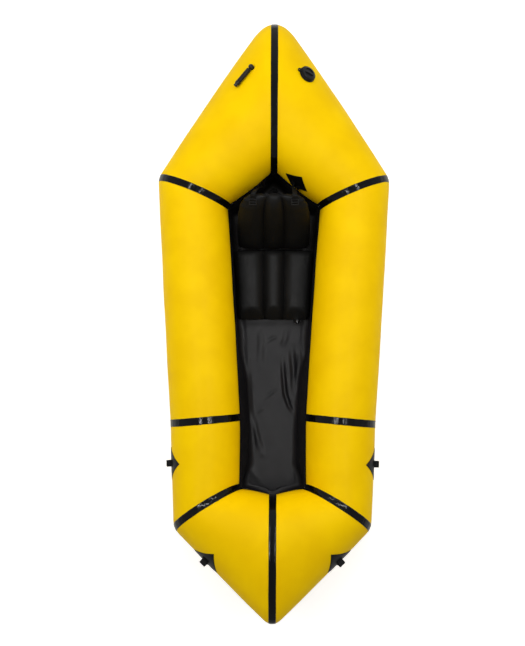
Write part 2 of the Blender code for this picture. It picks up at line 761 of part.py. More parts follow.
def make_seat():
    rear_y = FOLD_Y - FOLD_CLEARANCE
    half_widths = [cockpit_half_width(y) - SEAT_SIDE_CLEARANCE for y in (rear_y, SEAT_FRONT_Y)]
    rows = cushion_rows(SEAT_LENGTH, half_widths, SEAT_THICKNESS, SEAT_WIDTH_SHARES, SEAT_SCALLOP)
    rest_z = FLOOR_THICKNESS + JOIN_GAP + SEAT_THICKNESS / 2
    valve_place = Vector((-SEAT_VALVE_X, SEAT_LENGTH + SEAT_LENGTH, SEAT_VALVE_Z - rest_z))
    seat, place, facing = cushion_object("seat_cushion", rows, SEAT_FABRIC, valve_place,
                                         Vector((0, -1, 0)))
    seat.matrix_world = Matrix.Translation((0, rear_y, rest_z)) @ Matrix.Rotation(pi, 4, 'Z')
    facing = seat.matrix_world.to_3x3() @ facing
    twist_valve("seat_valve", frame_matrix(seat.matrix_world @ place, facing, UP))


def backrest_matrix():
    """The backrest's frame: origin on the fold, y up along the backrest, z out of its front face."""
    lean = radians(BACKREST_LEAN_DEG)
    facing = Vector((0, -cos(lean), sin(lean)))
    return frame_matrix(Vector((0, FOLD_Y, FOLD_HEIGHT)), facing, Vector((1, 0, 0)))


def make_backrest():
    half_widths = (BACKREST_HALF_WIDTH, BACKREST_HALF_WIDTH)
    rows = cushion_rows(BACKREST_LENGTH, half_widths, BACKREST_THICKNESS, BACKREST_WIDTH_SHARES,
                        BACKREST_SCALLOP)
    middle = -(BACKREST_THICKNESS / 2 * CUSHION_END_SHARES[0] + FOLD_NIP)
    rows = [[p + Vector((0, FOLD_NIP, middle)) for p in row] for row in rows]
    valve_place = Vector((BACK_VALVE_X, BACK_VALVE_ALONG, middle - BACKREST_THICKNESS))
    backrest, place, facing = cushion_object("backrest_cushion", rows, SEAT_FABRIC, valve_place, UP)
    matrix = backrest_matrix()
    backrest.matrix_world = matrix
    facing = matrix.to_3x3() @ facing
    twist_valve("backrest_valve", frame_matrix(matrix @ place, facing, Vector((1, 0, 0))))
    return backrest


def make_fold_strip():
    """The fabric strip sewn to the seat's rear edge, on which the backrest folds."""
    half = FOLD_STRIP_WIDTH / 2
    y = FOLD_Y - FABRIC
    rows = [[Vector((x, y, FOLD_HEIGHT - drop)) for x in (-half, 0, half)] for drop in (0, FOLD_STRIP_HEIGHT)]
    strip = grid_object("seat_fold_strip", rows, BLACK_TAPE, closed=False)
    add_wall(strip, FABRIC, True)


# Main valve on the right-hand stern panel
def valve_matrix():
    point, normal, forward, _ = hull_frame(0, radians(VALVE_TURN_DEG), VALVE_ALONG_SHARE)
    turn = Matrix.Rotation(radians(LEASH_TURN_DEG), 4, 'Z')
    return frame_matrix(point, normal, -forward) @ turn


def round_cutter(name, radius, low, high, matrix, offset=(0, 0)):
    """A round cutter between two heights of a frame."""
    bpy.ops.mesh.primitive_cylinder_add(vertices=ROUND_SEGMENTS, radius=radius, depth=high - low)
    cutter = bpy.context.object
    cutter.name = name
    for owner in list(cutter.users_collection):
        owner.objects.unlink(cutter)
    cutters.objects.link(cutter)
    cutter.matrix_world = matrix @ Matrix.Translation((*offset, (low + high) / 2))
    cutter.hide_render = True
    cutter.display_type = 'WIRE'
    return cutter


def cut(obj, cutter):
    boolean = obj.modifiers.new("cut", 'BOOLEAN')
    boolean.operation = 'DIFFERENCE'
    boolean.object = cutter


def make_main_valve(panels):
    matrix = valve_matrix()
    flange_low = VALVE_SEAT_GAP
    flange_top = flange_low + VALVE_FLANGE_HEIGHT
    rim_low = flange_top + JOIN_GAP
    rim_top = rim_low + INSERT_RIM_HEIGHT
    cap_low = rim_top + VALVE_RUNNING_GAP

    base = [
        (VALVE_BORE_RADIUS, flange_top), (VALVE_FLANGE_RADIUS - VALVE_LIP, flange_top),
        (VALVE_FLANGE_RADIUS, flange_top - VALVE_LIP), (VALVE_FLANGE_RADIUS, flange_low),
        (VALVE_NECK_RADIUS, flange_low), (VALVE_NECK_RADIUS, -VALVE_NECK_DEPTH),
        (VALVE_BORE_RADIUS, -VALVE_NECK_DEPTH),
    ]
    turned("valve_base", base, BLACK_MOULDING, matrix, closed=True)
    hole = round_cutter("valve_hole", VALVE_NECK_RADIUS + VALVE_RUNNING_GAP, -VALVE_NECK_DEPTH,
                        VALVE_NECK_DEPTH, matrix)
    cut(panels["stern_panel_right"], hole)

    neck = VALVE_BORE_RADIUS - VALVE_RUNNING_GAP
    web_top = INSERT_WEB - INSERT_DEPTH
    insert = [
        (INSERT_BORE_RADIUS, rim_top), (INSERT_RIM_RADIUS, rim_top), (INSERT_RIM_RADIUS, rim_low),
        (neck, rim_low), (neck, -INSERT_DEPTH), (INSERT_STEM_HOLE_RADIUS, -INSERT_DEPTH),
        (INSERT_STEM_HOLE_RADIUS, web_top), (INSERT_BORE_RADIUS, web_top),
    ]
    insert_object = turned("valve_insert", insert, BLACK_MOULDING, matrix, closed=True)
    for i in range(AIR_HOLE_COUNT):
        angle = 2 * pi * i / AIR_HOLE_COUNT
        offset = (AIR_HOLE_RING_RADIUS * cos(angle), AIR_HOLE_RING_RADIUS * sin(angle))
        hole = round_cutter(f"air_hole_{i}", AIR_HOLE_RADIUS, -INSERT_DEPTH - INSERT_WEB,
                            web_top + INSERT_WEB, matrix, offset)
        cut(insert_object, hole)

    disc_top = -INSERT_DEPTH - JOIN_GAP
    head_low = web_top + DIAPHRAGM_TRAVEL + JOIN_GAP
    diaphragm = [
        (0, head_low + DIAPHRAGM_HEAD_HEIGHT), (DIAPHRAGM_HEAD_RADIUS, head_low + DIAPHRAGM_HEAD_HEIGHT),
        (DIAPHRAGM_HEAD_RADIUS, head_low), (DIAPHRAGM_STEM_RADIUS, head_low),
        (DIAPHRAGM_STEM_RADIUS, disc_top), (DIAPHRAGM_RADIUS, disc_top),
        (DIAPHRAGM_RADIUS, disc_top - DIAPHRAGM_THICKNESS), (0, disc_top - DIAPHRAGM_THICKNESS),
    ]
    turned("valve_diaphragm", diaphragm, BLACK_RUBBER, matrix)

    cap_top = cap_low + CAP_HEIGHT
    groove_low = cap_low + CAP_GROOVE_LOW
    groove_top = groove_low + CAP_GROOVE_HEIGHT
    plug = INSERT_BORE_RADIUS - VALVE_RUNNING_GAP
    cap = [
        (0, cap_top + CAP_CROWN), (CAP_RECESS_RADIUS, cap_top), (CAP_GROOVE_RADIUS, cap_top - CAP_CROWN),
        (CAP_RADIUS, groove_top + CAP_CROWN), (CAP_RADIUS, groove_top), (CAP_GROOVE_RADIUS, groove_top),
        (CAP_GROOVE_RADIUS, groove_low), (CAP_RADIUS, groove_low), (CAP_RADIUS, cap_low), (plug, cap_low),
        (plug, cap_low - CAP_PLUG_DEPTH), (0, cap_low - CAP_PLUG_DEPTH),
    ]
    cap_object = turned("valve_cap", cap, BLACK_MOULDING, matrix)
    for word, side in SIDES:
        recess = round_cutter(f"cap_recess_{word}", CAP_RECESS_RADIUS, cap_top - CAP_RECESS_DEPTH,
                              cap_top + CAP_RECESS_DEPTH, matrix)
        bm = bmesh.new()
        bm.from_mesh(recess.data)
        keep = bmesh.ops.bisect_plane(bm, geom=bm.verts[:] + bm.edges[:] + bm.faces[:],
                                      plane_co=(0, side * CAP_BAR_WIDTH / 2, 0), plane_no=(0, -side, 0),
                                      clear_outer=True)
        edges = [item for item in keep["geom_cut"] if isinstance(item, bmesh.types.BMEdge)]
        bmesh.ops.contextual_create(bm, geom=edges)
        bmesh.ops.recalc_face_normals(bm, faces=bm.faces)
        bm.to_mesh(recess.data)
        bm.free()
        cut(cap_object, recess)

    inner = VALVE_FLANGE_RADIUS + VALVE_RUNNING_GAP
    anchor_top = flange_low + LEASH_THICKNESS
    anchor = [
        (inner, anchor_top), (inner + LEASH_RING_WIDTH, anchor_top), (inner + LEASH_RING_WIDTH, flange_low),
        (inner, flange_low),
    ]
    turned("leash_anchor_ring", anchor, BLACK_RUBBER, matrix, closed=True)
    cap_inner = CAP_GROOVE_RADIUS + VALVE_RUNNING_GAP
    ring_low = groove_low + (CAP_GROOVE_HEIGHT - LEASH_THICKNESS) / 2
    ring_top = ring_low + LEASH_THICKNESS
    cap_ring = [
        (cap_inner, ring_top), (cap_inner + LEASH_RING_WIDTH + LEASH_RING_WIDTH, ring_top),
        (cap_inner + LEASH_RING_WIDTH + LEASH_RING_WIDTH, ring_low), (cap_inner, ring_low),
    ]
    turned("leash_cap_ring", cap_ring, BLACK_RUBBER, matrix, closed=True)

    low_start = Vector((inner + LEASH_RING_WIDTH + JOIN_GAP, 0, flange_low + LEASH_THICKNESS / 2))
    high_start = Vector((cap_inner + LEASH_RING_WIDTH + LEASH_RING_WIDTH + JOIN_GAP, 0,
                         ring_low + LEASH_THICKNESS / 2))
    far = Vector((inner + LEASH_REACH, 0, (low_start.z + high_start.z) / 2))
    route = [low_start.lerp(far, 0)]
    for i in range(LEASH_STEPS + 1):
        angle = pi * i / LEASH_STEPS - pi / 2
        half_rise = (high_start.z - low_start.z) / 2
        route.append(Vector((far.x - half_rise + half_rise * cos(angle), 0, far.z + half_rise * sin(angle))))
    route.append(high_start)
    ribbon("leash_strap", route, Vector((0, LEASH_WIDTH / 2, 0)), LEASH_THICKNESS, BLACK_RUBBER, matrix)


def ribbon(name, route, half_width, thickness, finish, matrix=Matrix.Identity(4), last_half_width=None):
    """A flat strap along a route, with its thickness to both sides. It may turn after its first step."""
    rows = []
    for i, point in enumerate(route):
        reach = half_width
        if last_half_width:
            reach = half_width.lerp(last_half_width, max(i - 1, 0) / (len(route) - 2))
            reach = reach.normalized() * half_width.length
        rows.append([point - reach, point + reach])
    strap = grid_object(name, rows, finish, closed=False)
    wall = add_wall(strap, thickness)
    wall.modifiers["wall"].offset = 0
    strap.matrix_world = matrix
    return strap


# Mouth tube on the left-hand stern panel
def make_mouth_tube():
    point, normal, _, _ = hull_frame(0, radians(MOUTH_TURN_DEG), MOUTH_ALONG_SHARE)
    aim = hull_point(0, radians(MOUTH_AIM_TURN_DEG), MOUTH_AIM_ALONG_SHARE) - point
    aim = (aim - normal * aim.dot(normal)).normalized()
    point, normal, aim = mirrored(point), mirrored(normal), mirrored(aim)
    foot_top = JOIN_GAP + MOUTH_FOOT_THICKNESS
    neck = MOUTH_KNUCKLE_RADIUS / sqrt(2)
    foot = [(MOUTH_FOOT_RADIUS, foot_top), (MOUTH_FOOT_RADIUS, JOIN_GAP), (0, JOIN_GAP)]
    knuckle = []
    for i in range(LOOP_ARC_STEPS + 1):
        angle = pi / 2 - (pi * 3 / 4) * i / LOOP_ARC_STEPS
        knuckle.append((MOUTH_KNUCKLE_RADIUS * cos(angle),
                        MOUTH_AXIS_HEIGHT + MOUTH_KNUCKLE_RADIUS * sin(angle)))
    knuckle[0] = (0, knuckle[0][1])
    turned("mouth_tube_foot", knuckle + [(neck, foot_top)] + foot, BLACK_MOULDING,
           frame_matrix(point, normal, aim), SMALL_SEGMENTS)

    axis_point = point + normal * MOUTH_AXIS_HEIGHT
    matrix = frame_matrix(axis_point, aim, normal)
    start = MOUTH_KNUCKLE_RADIUS + MOUTH_GAP
    end = start + MOUTH_TUBE_LENGTH
    tube = [(0, end), (MOUTH_TUBE_RADIUS, end), (MOUTH_TUBE_RADIUS, start), (0, start)]
    turned("mouth_tube", tube, BLACK_RUBBER, matrix, SMALL_SEGMENTS)
    low = end + MOUTH_GAP
    collar = low + MOUTH_PIECE_LENGTH / 2
    high = low + MOUTH_PIECE_LENGTH
    piece = [
        (0, collar), (MOUTH_BORE_RADIUS, collar), (MOUTH_BORE_RADIUS, high), (MOUTH_LIP_RADIUS, high),
        (MOUTH_LIP_RADIUS, collar), (MOUTH_COLLAR_RADIUS, collar - MOUTH_GAP), (MOUTH_COLLAR_RADIUS, low),
        (0, low),
    ]
    turned("mouthpiece", piece, BLACK_MOULDING, matrix, SMALL_SEGMENTS)


# Patches and loops
def cut_patch(name, panel, frame, half, skew_share, side, lift):
    """A diamond of fabric cut from the panel's own surface and lifted clear of it."""
    point, normal, forward, around = frame
    rows = band_rows(panel, TURNS, 0, JOIN_GAP / 2)
    source = grid_object(name, rows, BLACK_TAPE)
    bm = bmesh.new()
    bm.from_mesh(source.data)
    long_half, round_half = half
    shift = skew_share * long_half
    corners = [(long_half, 0), (shift, round_half), (-long_half, 0), (-shift, -round_half)]
    corners = [point + forward * u + around * v for u, v in corners]
    for a, b in zip(corners, corners[1:] + corners[:1]):
        outside = (b - a).cross(normal).normalized()
        if outside.dot(point - a) > 0:
            outside.negate()
        geom = bm.verts[:] + bm.edges[:] + bm.faces[:]
        bmesh.ops.bisect_plane(bm, geom=geom, plane_co=a, plane_no=outside, clear_outer=True)
    geom = bm.verts[:] + bm.edges[:] + bm.faces[:]
    bmesh.ops.bisect_plane(bm, geom=geom, plane_co=point - normal * TUBE_HALF_HEIGHT / 2,
                           plane_no=-normal, clear_outer=True)
    bm.normal_update()
    shifts = [(vert, vert.normal * lift) for vert in bm.verts]
    for vert, move in shifts:
        vert.co += move
    if side < 0:
        for vert in bm.verts:
            vert.co.x = -vert.co.x
        bmesh.ops.reverse_faces(bm, faces=bm.faces)
    bm.to_mesh(source.data)
    bm.free()
    add_wall(source, PATCH_THICKNESS, True)


def loop_route(curve_radius, lift):
    """The webbing's route over its patch, as reach and height: foot, arch and foot."""
    route = []
    for i in range(LOOP_FOOT_STEPS + 1):
        reach = LOOP_HALF_SPAN + LOOP_FOOT * (1 - i / LOOP_FOOT_STEPS)
        route.append((-reach, lift - reach * reach / (2 * curve_radius)))
    for i in range(1, LOOP_ARC_STEPS):
        angle = pi - pi * i / LOOP_ARC_STEPS
        route.append((LOOP_HALF_SPAN * cos(angle), lift + LOOP_HEIGHT * sin(angle)))
    return route + [(-reach, height) for reach, height in reversed(route[:LOOP_FOOT_STEPS + 1])]


def loop_frame(panel, turn_deg, share, turn, shift):
    """Where a webbing loop stands: its point on the hull, the normal, its span and its width."""
    drop = shift / RINGS[panel]["half_height"]
    point, normal, forward, around = hull_frame(panel, radians(turn_deg) + drop, share)
    spin = Matrix.Rotation(radians(turn), 3, normal)
    return point, normal, spin @ around, spin @ forward


def make_loops():
    """Makes patches and loops. Returns where a strap lies on each crown, its width's way and its half lap."""
    crowns = {}
    for name, side, panel, turn_deg, share, half, skew_share, turn, shift, curve_radius, lift in LOOP_PLACES:
        patch_frame = hull_frame(panel, radians(turn_deg), share)
        cut_patch(name.format("patch"), panel, patch_frame, half, skew_share, side, lift)
        frame = loop_frame(panel, turn_deg, share, turn, shift)
        point, normal, span, width = (Vector((side * v.x, v.y, v.z)) for v in frame)
        places = loop_route(curve_radius, lift + LOOP_LIFT)
        route = [point + span * reach + normal * height for reach, height in places]
        ribbon(name.format("loop"), route, width * (WEBBING_WIDTH / 2), WEBBING_THICKNESS, BLACK_WEBBING)
        strap_place = point + normal * (lift + LOOP_TOP + JOIN_GAP + STRAP_THICKNESS / 2)
        crowns[name.format("loop")] = strap_place, span * side, width * (WEBBING_WIDTH / 2)
    return crowns


# Straps that hold the backrest, each from a stern loop to a ladder buckle near the backrest's upper edge
def make_straps(backrest, crowns):
    matrix = backrest_matrix()
    bm = bmesh.new()
    bm.from_mesh(backrest.data)
    tree = BVHTree.FromBMesh(bm)
    for word, side, rise in (("left", -1, LOW_STRAP_RISE), ("right", 1, STRAP_RISE)):
        above = Vector((side * STRAP_X, BACKREST_LENGTH * STRAP_ALONG_SHARE, BACKREST_THICKNESS))
        place, face_normal, _, _ = tree.ray_cast(above, -UP)
        tilt = frame_matrix(place, face_normal, Vector((1, 0, 0)))
        seat = matrix @ tilt @ Matrix.Translation((0, 0, BUCKLE_LIFT + BUCKLE_BAR / 2))
        make_buckle(f"strap_buckle_{word}", seat)
        end = seat @ Vector((0, BUCKLE_HALF_LENGTH + BUCKLE_BAR, 0))
        crown, first_way, lap = crowns[f"stern_loop_{word}"]
        start = crown + lap
        over = matrix @ Vector((side * STRAP_X, BACKREST_LENGTH + rise, STRAP_STAND_OFF))
        route = [crown - lap] + [bezier(start, over, end, i / STRAP_STEPS) for i in range(STRAP_STEPS + 1)]
        ribbon(f"backrest_strap_{word}", route, first_way * (STRAP_WIDTH / 2), STRAP_THICKNESS, BLACK_WEBBING,
               last_half_width=Vector((STRAP_WIDTH / 2, 0, 0)))
    bm.free()


def make_buckle(name, matrix):
    """A ladder buckle: a flat frame with three bars, cut from a plate."""
    bpy.ops.mesh.primitive_cube_add(size=1)
    buckle = bpy.context.object
    buckle.name = name
    for owner in list(buckle.users_collection):
        owner.objects.unlink(buckle)
    raft.objects.link(buckle)
    size = (BUCKLE_HALF_WIDTH * 2, BUCKLE_HALF_LENGTH * 2, BUCKLE_BAR)
    buckle.data.transform(Matrix.Diagonal((*size, 1)))
    buckle.data.materials.append(new_material(name, *BLACK_MOULDING))
    slot_length = (BUCKLE_HALF_LENGTH * 2 - BUCKLE_BAR * 3) / 2
    for i, sign in enumerate((-1, 1)):
        bpy.ops.mesh.primitive_cube_add(size=1)
        cutter = bpy.context.object
        cutter.name = f"{name}_slot_{i}"
        for owner in list(cutter.users_collection):
            owner.objects.unlink(cutter)
        cutters.objects.link(cutter)
        slot = ((BUCKLE_HALF_WIDTH - BUCKLE_BAR) * 2, slot_length, BUCKLE_BAR * 2)
        cutter.data.transform(Matrix.Diagonal((*slot, 1)))
        centre = Vector((0, sign * (BUCKLE_BAR + slot_length) / 2, 0))
        cutter.matrix_world = matrix @ Matrix.Translation(centre)
        cutter.hide_render = True
        cutter.display_type = 'WIRE'
        cut(buckle, cutter)
    buckle.matrix_world = matrix


def build():
    panels = make_panels()
    make_seam_tapes()
    centre_tape("stern_centre_tape", 0, False)
    centre_tape("bow_centre_tape", len(PANEL_NAMES) - 1, True)
    make_floor_tape()
    make_floor_sheet()
    make_seat()
    backrest = make_backrest()
    make_fold_strip()
    make_main_valve(panels)
    make_mouth_tube()
    crowns = make_loops()
    make_straps(backrest, crowns)
    print(f"{len(raft.objects)} pieces")


build()
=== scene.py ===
# %% [markdown]
# # A solo packraft
# A packraft is a boat that rolls up small enough for a rucksack. Its hull is one ring of air in coated
# fabric, cut as flat panels and joined by welded tape. A tub of darker fabric hangs inside the ring as the
# floor, and a seat and a backrest of the same kind are blown up by mouth.
# This lesson dresses the plain solids of such a boat: each fabric piece is laid over its solid as a fine
# surface, with the puckers, welds and gloss that the real one has.

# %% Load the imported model
from bisect import bisect_left
from contextlib import contextmanager
from functools import lru_cache
from math import cos, exp, pi, radians, sin, sqrt

import bpy
from mathutils import Matrix, Vector, noise


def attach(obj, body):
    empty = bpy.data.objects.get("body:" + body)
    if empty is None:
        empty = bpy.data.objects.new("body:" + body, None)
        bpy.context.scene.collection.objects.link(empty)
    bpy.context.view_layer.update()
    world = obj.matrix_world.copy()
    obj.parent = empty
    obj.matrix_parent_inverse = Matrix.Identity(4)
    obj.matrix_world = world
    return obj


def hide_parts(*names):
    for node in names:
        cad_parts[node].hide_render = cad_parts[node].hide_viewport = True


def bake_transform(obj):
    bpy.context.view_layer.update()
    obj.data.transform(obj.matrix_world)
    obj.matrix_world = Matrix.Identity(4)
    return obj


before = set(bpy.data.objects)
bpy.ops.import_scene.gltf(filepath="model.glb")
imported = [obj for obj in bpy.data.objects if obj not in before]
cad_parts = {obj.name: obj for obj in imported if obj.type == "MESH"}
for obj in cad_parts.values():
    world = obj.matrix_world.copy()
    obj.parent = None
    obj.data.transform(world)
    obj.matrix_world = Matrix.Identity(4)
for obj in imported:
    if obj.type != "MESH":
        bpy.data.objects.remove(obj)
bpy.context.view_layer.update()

MM = 0.001
SIDES = (("left", -1), ("right", 1))

# %% [markdown]
# ## The camera
# The photograph was taken from a ladder or a boom, 3.2 m above the ground over the seat, so near parts of the
# tube hide a little of the cockpit. A camera at that height with that angle of view gives the same overlaps,
# which a flat view from above would not. A small shift puts the raft where it lies in the frame.

# %% Place the camera
PHOTO_LONG_SIDE = 646
FOCAL_PIXELS = 768
AXIS_PIXELS_RIGHT = 10.5
CAMERA_PLACE = (0, -0.356, 3.2)
CAMERA_TILT_DEG = 6.0
CAMERA_ROLL_DEG = 0.25

camera_data = bpy.data.cameras.new("overhead_camera")
camera_data.sensor_width = 36
camera_data.lens = FOCAL_PIXELS / PHOTO_LONG_SIDE * camera_data.sensor_width
camera_data.shift_x = -AXIS_PIXELS_RIGHT / PHOTO_LONG_SIDE
camera = bpy.data.objects.new("overhead_camera", camera_data)
bpy.context.scene.collection.objects.link(camera)
camera.location = CAMERA_PLACE
camera.rotation_euler = (radians(CAMERA_TILT_DEG), 0, radians(CAMERA_ROLL_DEG))
bpy.context.scene.camera = camera
print("lens", round(camera_data.lens, 2), "mm")

# %% [markdown]
# ## The studio
# Black welded tape is glossy, and in the photograph each seam carries two small white glints: the mirror
# images of two long strip boxes that hang over the raft, left and right. They are here for the glints alone.
# Broad fill lamps give the soft light and show in no mirror image, and a white world does the rest. It is
# brighter on the stern's side than on the bow's, as the yellow is in the photograph.

# %% Light the studio
scene = bpy.context.scene
scene.view_settings.view_transform = 'Standard'


def soft_box(name, place, aim, size, watts):
    """A rectangular lamp that faces a point."""
    data = bpy.data.lights.new(name, 'AREA')
    data.shape = 'RECTANGLE'
    data.size, data.size_y = size
    data.energy = watts
    lamp = bpy.data.objects.new(name, data)
    scene.collection.objects.link(lamp)
    lamp.location = place
    direction = Vector(aim) - Vector(place)
    lamp.rotation_euler = direction.to_track_quat('-Z', 'Y').to_euler()
    return lamp


STRIP_X, STRIP_Y, STRIP_HEIGHT = 0.92, 0.05, 3.3
STRIP_SIZE = (0.07, 3.0)
STRIP_WATTS = 38
FILL_AIM = (0, 0.1, 0.1)
FILL_SIZE = (2.0, 2.0)
FILLS = (
    ("left_fill", (-2.2, 0.6, 2.5), 37),
    ("right_fill", (2.2, 0.6, 2.5), 30),
    ("stern_fill", (0, 1.6, 3.3), 34),
)

for word, side in SIDES:
    place, below = (side * STRIP_X, STRIP_Y, STRIP_HEIGHT), (side * STRIP_X, STRIP_Y, 0)
    soft_box(f"{word}_strip_box", place, below, STRIP_SIZE, STRIP_WATTS).visible_diffuse = False
for name, place, watts in FILLS:
    soft_box(name, place, FILL_AIM, FILL_SIZE, watts).visible_glossy = False
print("lamps", len(SIDES) + len(FILLS))

# %% [markdown]
# ## How a material is put together
# Every finish below is a Principled shader with a few nodes in front of it. One function adds a node, sets
# its values and links its inputs, so each material reads as a short list. Colours are written as hex, as a
# painter or a web page gives them, and turned to the linear values that the renderer works in.

# %% Helpers for materials
def linear(hex_colour):
    """An sRGB hex colour as linear red, green, blue and alpha."""
    values = [int(hex_colour[i:i + 2], 16) / 255 for i in (1, 3, 5)]
    return tuple(v / 12.92 if v <= 0.04045 else ((v + 0.055) / 1.055) ** 2.4 for v in values) + (1.0,)


def add(tree, kind, settings=None, **links):
    """Adds a node. Settings name its properties or inputs, and links name what feeds an input."""
    node = tree.nodes.new(kind)
    for name, value in (settings or {}).items():
        if name in node.inputs:
            node.inputs[name].default_value = value
        else:
            setattr(node, name, value)
    for name, source in links.items():
        key = name.replace("_", " ")
        target = node.inputs[int(name[1:])] if name[0] == "i" and name[1:].isdigit() else node.inputs[key]
        tree.links.new(source, target)
    return node


def new_finish(name, hex_colour, roughness, **sockets):
    """A material with its Principled shader's plain values set."""
    material = bpy.data.materials.new(name)
    material.use_nodes = True
    tree = material.node_tree
    shader = tree.nodes["Principled BSDF"]
    shader.inputs["Base Color"].default_value = linear(hex_colour)
    shader.inputs["Roughness"].default_value = roughness
    for socket, value in sockets.items():
        shader.inputs[socket.replace("_", " ")].default_value = value
    return material, tree, shader


def map_range(tree, value, low, high, to_low, to_high):
    node = add(tree, "ShaderNodeMapRange", {"From Min": low, "From Max": high, "To Min": to_low,
                                            "To Max": to_high}, Value=value)
    return node.outputs["Result"]


def object_place(tree):
    """Coordinates in metres that stay with the piece."""
    return add(tree, "ShaderNodeTexCoord").outputs["Object"]


def cloud(tree, place, scale, detail, **settings):
    """A soft noise in space, mostly between 0.3 and 0.7."""
    settings.update(Scale=scale, Detail=detail)
    return add(tree, "ShaderNodeTexNoise", settings, Vector=place).outputs["Fac"]


def two_tone(tree, shader, value, low, high, dark, light):
    """Colours a surface between two hex colours by a value, and returns the share of the light one."""
    share = map_range(tree, value, low, high, 0.0, 1.0)
    ramp = add(tree, "ShaderNodeValToRGB", Fac=share)
    for element, colour in zip(ramp.color_ramp.elements, (dark, light)):
        element.color = linear(colour)
    tree.links.new(ramp.outputs["Color"], shader.inputs["Base Color"])
    return share


def uneven_gloss(tree, shader, value, low, high, least, most):
    tree.links.new(map_range(tree, value, low, high, least, most), shader.inputs["Roughness"])


def bump(tree, shader, height, distance, strength=1.0, below=None):
    """Lets a height, in shares of distance, tilt the shading of a surface."""
    node = add(tree, "ShaderNodeBump", {"Distance": distance, "Strength": strength}, Height=height)
    if below is not None:
        tree.links.new(below, node.inputs["Normal"])
    tree.links.new(node.outputs["Normal"], shader.inputs["Normal"])
    return node.outputs["Normal"]


def camera_sees(tree, camera_shader, other_shader):
    """One shader for the camera's own rays and another for all other rays."""
    path = add(tree, "ShaderNodeLightPath")
    return add(tree, "ShaderNodeMixShader", i0=path.outputs["Is Camera Ray"], i1=other_shader.outputs[0],
               i2=camera_shader.outputs[0]).outputs[0]


# %% The white walls and the ceiling around the raft
WALL_STRENGTH = 0.52
CEILING_STRENGTH = 0.36
BOW_SIDE_SHARE = 0.56
STERN_SIDE_SHARE = 1.12
WALL_TO_CEILING = 0.6, 0.95
BOW_TO_STERN = -0.7, 0.7
world = bpy.data.worlds.new("studio_walls")
scene.world = world
world.use_nodes = True
tree = world.node_tree
background = tree.nodes["Background"]
background.inputs["Color"].default_value = linear("#FFFFFF")
heading = add(tree, "ShaderNodeSeparateXYZ", i0=add(tree, "ShaderNodeTexCoord").outputs["Generated"])
overhead = map_range(tree, heading.outputs["Z"], *WALL_TO_CEILING, WALL_STRENGTH, CEILING_STRENGTH)
toward_stern = map_range(tree, heading.outputs["Y"], *BOW_TO_STERN, BOW_SIDE_SHARE, STERN_SIDE_SHARE)
light = add(tree, "ShaderNodeMath", {"operation": 'MULTIPLY'}, i0=overhead, i1=toward_stern)
tree.links.new(light.outputs[0], background.inputs["Strength"])
seen = add(tree, "ShaderNodeBackground", {"Color": linear("#FFFFFF"), "Strength": 1.0})
tree.links.new(camera_sees(tree, seen, background), tree.nodes["World Output"].inputs["Surface"])

# %% [markdown]
# ## The floor of the studio
# The photograph shows pure white round the raft. A sheet of white board under it is lit by the lamps and
# keeps the raft's soft shadow. A little of its own light lifts it to white in the camera's eye only, so that
# no extra light reaches the raft.

# %% Lay the white board
BOARD_SIZE = 14
BOARD_GAP = 0.5 * MM


def started(name, operator, **settings):
    """The new object that an operator adds."""
    bpy.ops.object.select_all(action='DESELECT')
    operator(**settings)
    bpy.context.object.name = name
    return bpy.context.object


board = started("white_board", bpy.ops.mesh.primitive_plane_add, size=BOARD_SIZE, location=(0, 0, -BOARD_GAP))
material, tree, shader = new_finish("white_melamine_board", "#E2E2E0", 0.75)
glow = add(tree, "ShaderNodeEmission", {"Color": linear("#FFFFFF"), "Strength": 0.62})
both = add(tree, "ShaderNodeAddShader", i0=shader.outputs[0], i1=glow.outputs[0])
tree.links.new(camera_sees(tree, both, shader), tree.nodes["Material Output"].inputs["Surface"])
board.data.materials.append(material)

# %% [markdown]
# ## The shape of the air tube
# The hull is a loft through five oval rings on each side: at the stern's middle, at three welded seams and at
# the bow's middle. Between two rings a panel runs nearly straight, and at a ring it rounds over, since air
# pushes every corner out. The same rule shaped the solids, so each fine piece below lies on its solid
# without any fitting. Blender has no tool that lofts unlike ovals with rounded joints, so the rule is
# written here as a function, and plain grids are laid on it.

# %% The rings of the tube
JOIN_GAP = 0.3 * MM
TAPE_WIDTH = 28 * MM
TAPE_THICKNESS = 0.6 * MM
TUBE_AXIS_Z = 0.1427
UP = Vector((0, 0, 1))
TIP_PASSES = 8


def oval(outer, inner, half_height, lean_deg=0, egg_share=0.0):
    across = (outer - inner).normalized()
    upright = (UP - across * across.z).normalized()
    lean = radians(lean_deg)
    up = upright * cos(lean) + across.cross(upright) * sin(lean)
    return (outer + inner) / 2, across, up, (outer - inner).length / 2, half_height, egg_share


def ring_point(ring, turn):
    """A point of a ring: turn 0 is its outer side and a quarter turn its top."""
    centre, across, up, half_width, half_height, egg_share = ring
    squeeze = 1 - egg_share * cos(turn)
    return centre + across * (half_width * cos(turn)) + up * (half_height * sin(turn) * squeeze)


def on_side(side, point):
    """A point or direction of the right side, mirrored where the side is -1."""
    return Vector((side * point.x, point.y, point.z))


def at_axis(x, y):
    return Vector((x, y, TUBE_AXIS_Z))


def middle_ring(apex_y, apex_rise, tip_y, tip_rise, seam_outer, tip_round, half_height, egg_share):
    """The ring at the bow's or stern's middle. Its corner is set so that the rounded tip ends at tip_y."""
    corner = Vector((0, tip_y, TUBE_AXIS_Z + tip_rise))
    for _ in range(TIP_PASSES):
        corner.y = tip_y - (seam_outer - corner).normalized().y * tip_round / 2
    return oval(corner, Vector((0, apex_y, TUBE_AXIS_Z + apex_rise)), half_height, egg_share=egg_share)


